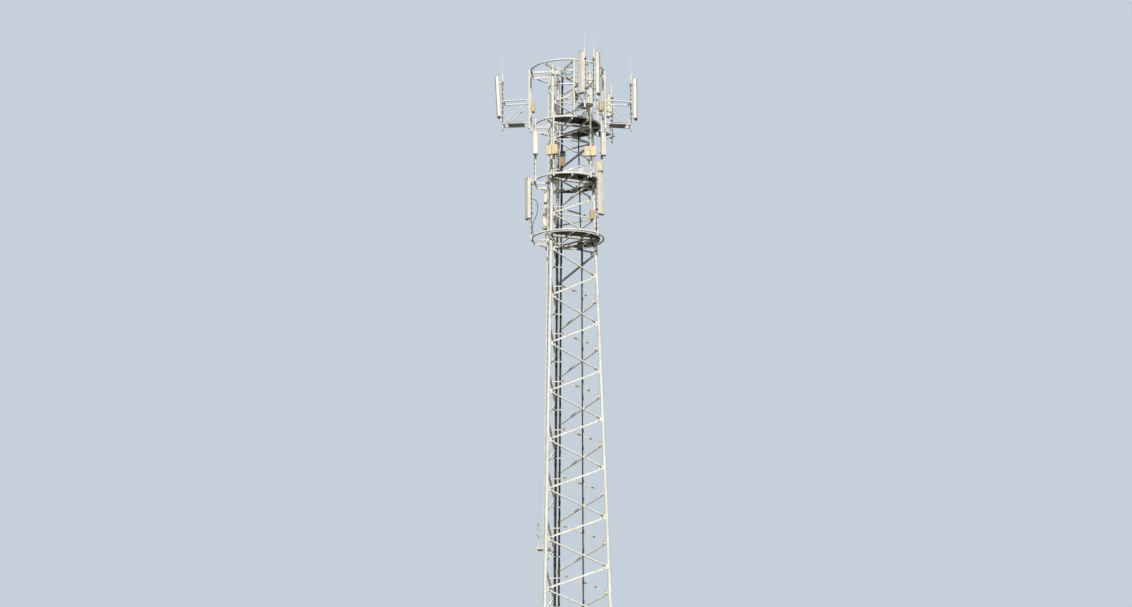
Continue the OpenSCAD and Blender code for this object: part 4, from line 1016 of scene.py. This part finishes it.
def riserPoint(z, s, w=riserRun["in"]):
    share = (z - riserRun["foot"]) / (riserRun["top"] - riserRun["foot"])
    low, high = riserRun["shift"]
    return facePoint(1, z, sideAt(z) / 2 + s - low - (high - low) * share, w)


def addRun(heap, pointAt, foot, top, outward):
    # a cable from foot to top: pointAt gives its centre, and it bellies towards outward
    count = max(2, round((top - foot) / cableRun["pointEvery"]))
    heights = sorted({foot + (top - foot) * k / count for k in range(count + 1)}
                     | ({tower["waist"]} if foot < tower["waist"] < top else set()))
    path = []
    for z in heights:
        phase = (z - foot) / cableRun["hangerEvery"]
        depth = cableRun["belly"] * math.sin(math.pi * (phase % 1)) ** 2 * random.uniform(0.5, 1)
        path.append(pointAt(z) + outward * depth)
    addSweep(heap, path, cableRun["radius"], cableRun["sides"])


def hangerHeights(foot, top):
    z = foot + cableRun["hangerEvery"]
    while z < top:
        yield z
        z += cableRun["hangerEvery"]


def addHanger(heap, spot, along, outward, count):
    # a strap across the cables with a lip at each end and a bolt at its middle
    c = cableRun
    half = count * c["step"] / 2 + c["hangerEdge"]
    tall, thick, start = c["hangerTall"] / 2, c["hangerThick"], c["radius"] + c["belly"]
    place = axesAt(along, outward.cross(along), outward, spot)
    addBlock(heap, place, (-half, -tall, start), (half, tall, start + thick))
    for side in (-1, 1):
        addBlock(heap, place, (side * half - thick / 2, -tall, -c["radius"]),
                 (side * half + thick / 2, tall, start + thick))
    addTurned(heap, place, [(c["bolt"], start + thick), (c["bolt"], start + thick + c["boltTall"])], 6)


def makeCables():
    heap, hangers = newHeap(), newHeap()
    width, deep, foot, top = [ladderRun[key] for key in ("width", "deep", "foot", "top")]
    along = alongFace(2)
    across = Vector((-along.y, along.x, 0))
    for k in range(3):
        near = ladderRun["first"] + k * cableRun["step"]
        for s, end in ((near, ladderRun["shortTop"] if k < 2 else top), (width - near, top)):
            addRun(heap, lambda z: ladderPoint(z, s, deep), foot, end, -along)
    piece = makePiece("ladder_feeders", heap, [blackJacket], sharp=60)
    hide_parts("feeder_cables")
    middle = ladderRun["first"] + cableRun["step"]
    for z in hangerHeights(foot, top - cableRun["lastGap"]):
        for s in (middle, width - middle):
            lone = s == middle and z > ladderRun["shortTop"]
            s += cableRun["step"] if lone else 0
            addHanger(hangers, ladderPoint(z, s, deep), across, -along, 1 if lone else 3)
    heap = newHeap()
    normal, railAlong = faceNormal(1, False), alongFace(1)
    for k in (-0.5, 0.5):
        s = k * cableRun["step"]
        addRun(heap, lambda z: railPoint(z, s, railRun["in"]), railRun["foot"],
               tower["waist"] + railRun["over"], -normal)
        addRun(heap, lambda z: riserPoint(z, s), riserRun["foot"], riserRun["top"], -normal)
    piece = makePiece("rail_feeders", heap, [blackJacket], sharp=60)
    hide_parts("rail_cables")
    for z in hangerHeights(railRun["foot"], tower["waist"]):
        addHanger(hangers, railPoint(z, 0, railRun["in"]), railAlong, -normal, 2)
    for z in hangerHeights(riserRun["foot"], riserRun["top"] - cableRun["lastGap"]):
        addHanger(hangers, riserPoint(z, 0), railAlong, -normal, 2)
    makePiece("cable_hangers", hangers, [boltSteel])


# Equipment boxes: a cabinet in two halves across the cable ladder, a white box on the middle
# deck and the slim rail's junction box under the lowest ring

cabinet = {"size": (0.2, 0.62, 0.215), "base": 30.74, "front": 0.034, "far": -0.475, "split": 0.36,
           "skin": 0.004, "doorGap": 0.012, "rim": 0.02, "barTop": -0.1, "bars": (0.1, 0.44),
           "barTall": 0.04, "barDeep": 0.014, "lip": 0.006, "waistTall": 0.01, "doorFoot": 0.016,
           "doorHead": 0.014, "louvres": 7, "louvreFirst": 0.06, "louvreEdge": 0.05, "louvreStep": 0.018,
           "louvreTall": 0.008, "ribsFrom": 0.007, "ribsTo": 0.011, "fins": 11, "finFirst": 0.014,
           "finEdge": 0.032, "finThick": 0.004, "finFoot": 0.02, "finHead": 0.03, "plugs": 4,
           "plugFirst": (0.05, -0.06), "plugStep": (0.03, -0.02),
           "plug": ((0.011, -0.001), (0.011, 0.012), (0.008, 0.014), (0.008, 0.028))}
deckBox = {"low": (0.43, -1.15), "size": (0.22, 0.16, 0.28), "level": 30.0917, "skin": 0.004, "lid": 0.03,
           "catches": (0.22, 0.78), "catchHalf": 0.012, "catchProud": 0.002, "catchDrop": (0.075, 0.018),
           "feetIn": 0.02, "feetWide": 0.03, "feetTall": 0.02, "plugs": 3, "plugFirst": 0.05,
           "plugStep": 0.06, "plugLevel": 0.05, "plug": ((0.01, -0.002), (0.01, 0.001), (0.007, 0.0015))}
junctionBox = {"size": (0.23, 0.3, 0.11), "base": 27.272, "in": -0.057, "header": 27.5667,
               "skin": 0.006, "skinFront": -0.02, "lid": (-0.022, -0.008), "doorGap": 0.01}
doorLook = {"thick": 0.004, "raised": 0.007, "inset": 0.012, "hinges": (0.18, 0.82), "hinge": 0.0055,
            "hingeHalf": 0.02, "hingeSpot": (0.004, -0.02, 0.006), "lockIn": 0.018,
            "lock": ((0.008, 0), (0.006, 0.005))}


def addDoor(heap, place, low, high, tag):
    # door leaf on the box's near side: place has X to the right, Y up and Z towards the eye
    d = doorLook
    right, up, near = d["hingeSpot"]
    addBlock(heap, place, (*low, 0.0), (*high, d["thick"]))
    addBlock(heap, place, (low[0] + d["inset"], low[1] + d["inset"], d["thick"]),
             (high[0] - d["inset"], high[1] - d["inset"], d["raised"]))
    tagFaces(heap, tag)
    for share in d["hinges"]:
        y = low[1] + (high[1] - low[1]) * share
        addTurned(heap, place @ moved(low[0] + right, y + up, near) @ spun(-90, "X"),
                  [(d["hinge"], -d["hingeHalf"]), (d["hinge"], d["hingeHalf"])], 12)
        addTurned(heap, place @ moved(high[0] - d["lockIn"], y, d["raised"]), d["lock"], 16)
    tagFaces(heap, 2)


def addCabinet(heap):
    # X runs towards the camera along the left face, Y up, Z out of the tower
    c = cabinet
    along = (legPoint(3, c["base"]) - legPoint(2, c["base"])).normalized()
    out = faceNormal(2, True)
    up = out.cross(along)
    place = axesAt(along, up, out, facePoint(2, c["base"], sideAt(c["base"]) / 2 + ladderRun["shift"]))
    deep, tall, wide = c["size"]
    x, low, high, split, skin, rim = c["front"], c["far"], c["far"] + wide, c["split"], c["skin"], c["rim"]
    gap, lip = c["doorGap"], c["lip"]
    face = x + deep - gap
    addBlock(heap, place, (x, lip, low + skin), (face, split - skin, high - skin))
    tagFaces(heap, 1)
    addBlock(heap, place, (x, split + lip, low + skin), (face, tall - rim, high - skin))
    tagFaces(heap, 3)
    for y, thick in ((0.0, lip), (split - skin, c["waistTall"]), (tall - rim, rim)):
        addBlock(heap, place, (x, y, low), (x + deep, y + thick, high))
    tagFaces(heap, 0)
    for y in c["bars"]:
        addBlock(heap, place, (x - c["barDeep"], y, low), (x, y + c["barTall"], c["barTop"]))
    tagFaces(heap, 2)
    # the door's own frame: X runs into the tower, Y up, Z towards the camera
    doors = axesAt(-out, up, along, place @ Vector((face, 0, high)))
    addDoor(heap, doors, (gap, c["doorFoot"]), (wide - gap, split - c["doorHead"]), 1)
    for k in range(c["louvres"]):
        y = c["louvreFirst"] + k * c["louvreStep"]
        addBlock(heap, doors, (c["louvreEdge"], y, c["ribsFrom"]),
                 (wide - c["louvreEdge"], y + c["louvreTall"], c["ribsTo"]))
    tagFaces(heap, 1)
    for k in range(c["fins"]):
        z = c["finFirst"] + k * (wide - c["finEdge"]) / (c["fins"] - 1)
        addBlock(heap, doors, (z, split + c["finFoot"], 0.0),
                 (z + c["finThick"], tall - c["finHead"], c["ribsTo"]))
    tagFaces(heap, 3)
    (first, deepIn), (step, zigzag) = c["plugFirst"], c["plugStep"]
    for k in range(c["plugs"]):
        spot = moved(x + first + step * k, 0.0, high + deepIn + zigzag * (k % 2))
        addTurned(heap, place @ spot @ spun(90, "X"), c["plug"], 12)
    tagFaces(heap, 3)


def addDeckBox(heap):
    # with a lid that overhangs, two catches, two feet and a row of plugs
    b = deckBox
    (wide, deep, tall), skin, lid = b["size"], b["skin"], b["lid"]
    place = Matrix.Translation(axisSpot + Vector((*b["low"], b["level"])))
    addBlock(heap, place, (skin, skin, 0), (wide - skin, deep - skin, tall - lid))
    addBlock(heap, place, (0, 0, tall - lid), (wide, deep, tall))
    tagFaces(heap, 4)
    lower, upper = b["catchDrop"]
    for share in b["catches"]:
        addBlock(heap, place, (wide * share - b["catchHalf"], -b["catchProud"], tall - lower),
                 (wide * share + b["catchHalf"], skin, tall - upper))
    for x in (b["feetIn"], wide - b["feetIn"] - b["feetWide"]):
        addBlock(heap, place, (x, 0, 0), (x + b["feetWide"], skin, b["feetTall"]))
    tagFaces(heap, 2)
    for k in range(b["plugs"]):
        spot = moved(b["plugFirst"] + b["plugStep"] * k, b["catchProud"], b["plugLevel"])
        addTurned(heap, place @ spot @ spun(90, "X"), b["plug"], 12)
    tagFaces(heap, 3)


def addJunctionBox(heap):
    # seen from inside the tower
    j = junctionBox
    along = alongFace(1)
    out = Vector((along.y, -along.x, 0))
    out = out if out.dot(faceNormal(1, True)) > 0 else -out
    spot = riserPoint(j["header"], 0, 0)
    spot.z = j["base"]
    (wide, tall, deep), skin, (back, front), gap = j["size"], j["skin"], j["lid"], j["doorGap"]
    place = axesAt(-along, Vector((0, 0, 1)), -out, spot + out * (j["in"] - deep))
    addBlock(heap, place, (-wide / 2 + skin, skin, -deep), (wide / 2 - skin, tall - skin, j["skinFront"]))
    addBlock(heap, place, (-wide / 2, 0, back), (wide / 2, tall, front))
    tagFaces(heap, 3)
    addDoor(heap, place @ moved(0, 0, front), (-wide / 2 + gap, gap), (wide / 2 - gap, tall - gap), 3)


def makeBoxes():
    heap = newHeap()
    addCabinet(heap)
    addDeckBox(heap)
    addJunctionBox(heap)
    piece = makePiece("equipment_boxes", heap, [paleCoat, brownCoat, boltSteel, darkCoat, whiteCoat],
                      sharp=40)
    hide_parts("equipment_box")


# Holding-down bolts at the feet: a washer, two nuts and the threaded end

footBolts = {"count": 8, "circle": 0.19, "plate": 0.03, "radius": 0.015, "washer": (1.9, 0.004),
             "nuts": (0.004, 0.026), "nutShape": ((1.55, 0.0), (1.75, 0.003), (1.75, 0.017), (1.55, 0.02)),
             "end": ((1.0, -0.02), (1.0, 0.062), (0.85, 0.065))}


def makeFootBolts():
    heap = newHeap()
    f = footBolts
    r, (share, thick) = f["radius"], f["washer"]
    for i in range(3):
        for k in range(f["count"]):
            turn = legAngles[i] + (k + 0.5) * 2 * math.pi / f["count"]
            place = Matrix.Translation(legPoint(i, 0) + polar(f["circle"], turn, f["plate"]))
            addTurned(heap, place, [(r * share, 0), (r * share, thick)], 20)
            for start in f["nuts"]:
                addTurned(heap, place, [(r * wide, start + z) for wide, z in f["nutShape"]], 6,
                          random.uniform(0, 1))
            addTurned(heap, place, [(r * wide, z) for wide, z in f["end"]], 14)
    makePiece("holding_down_bolts", heap, [boltSteel])


makeBraceBolts()
makeFootBolts()
print("bolts made")
makeCables()
makeBoxes()
print("cables and boxes made")
makeAntennas()
makeUnits()
makeStrapped()
makeCollarBolts()
print("antennas, radio units and their cables made")
for levelName in ("lower", "middle", "upper"):
    makeDeck(levelName + "_deck", ringLevel[levelName])
print("decks made")
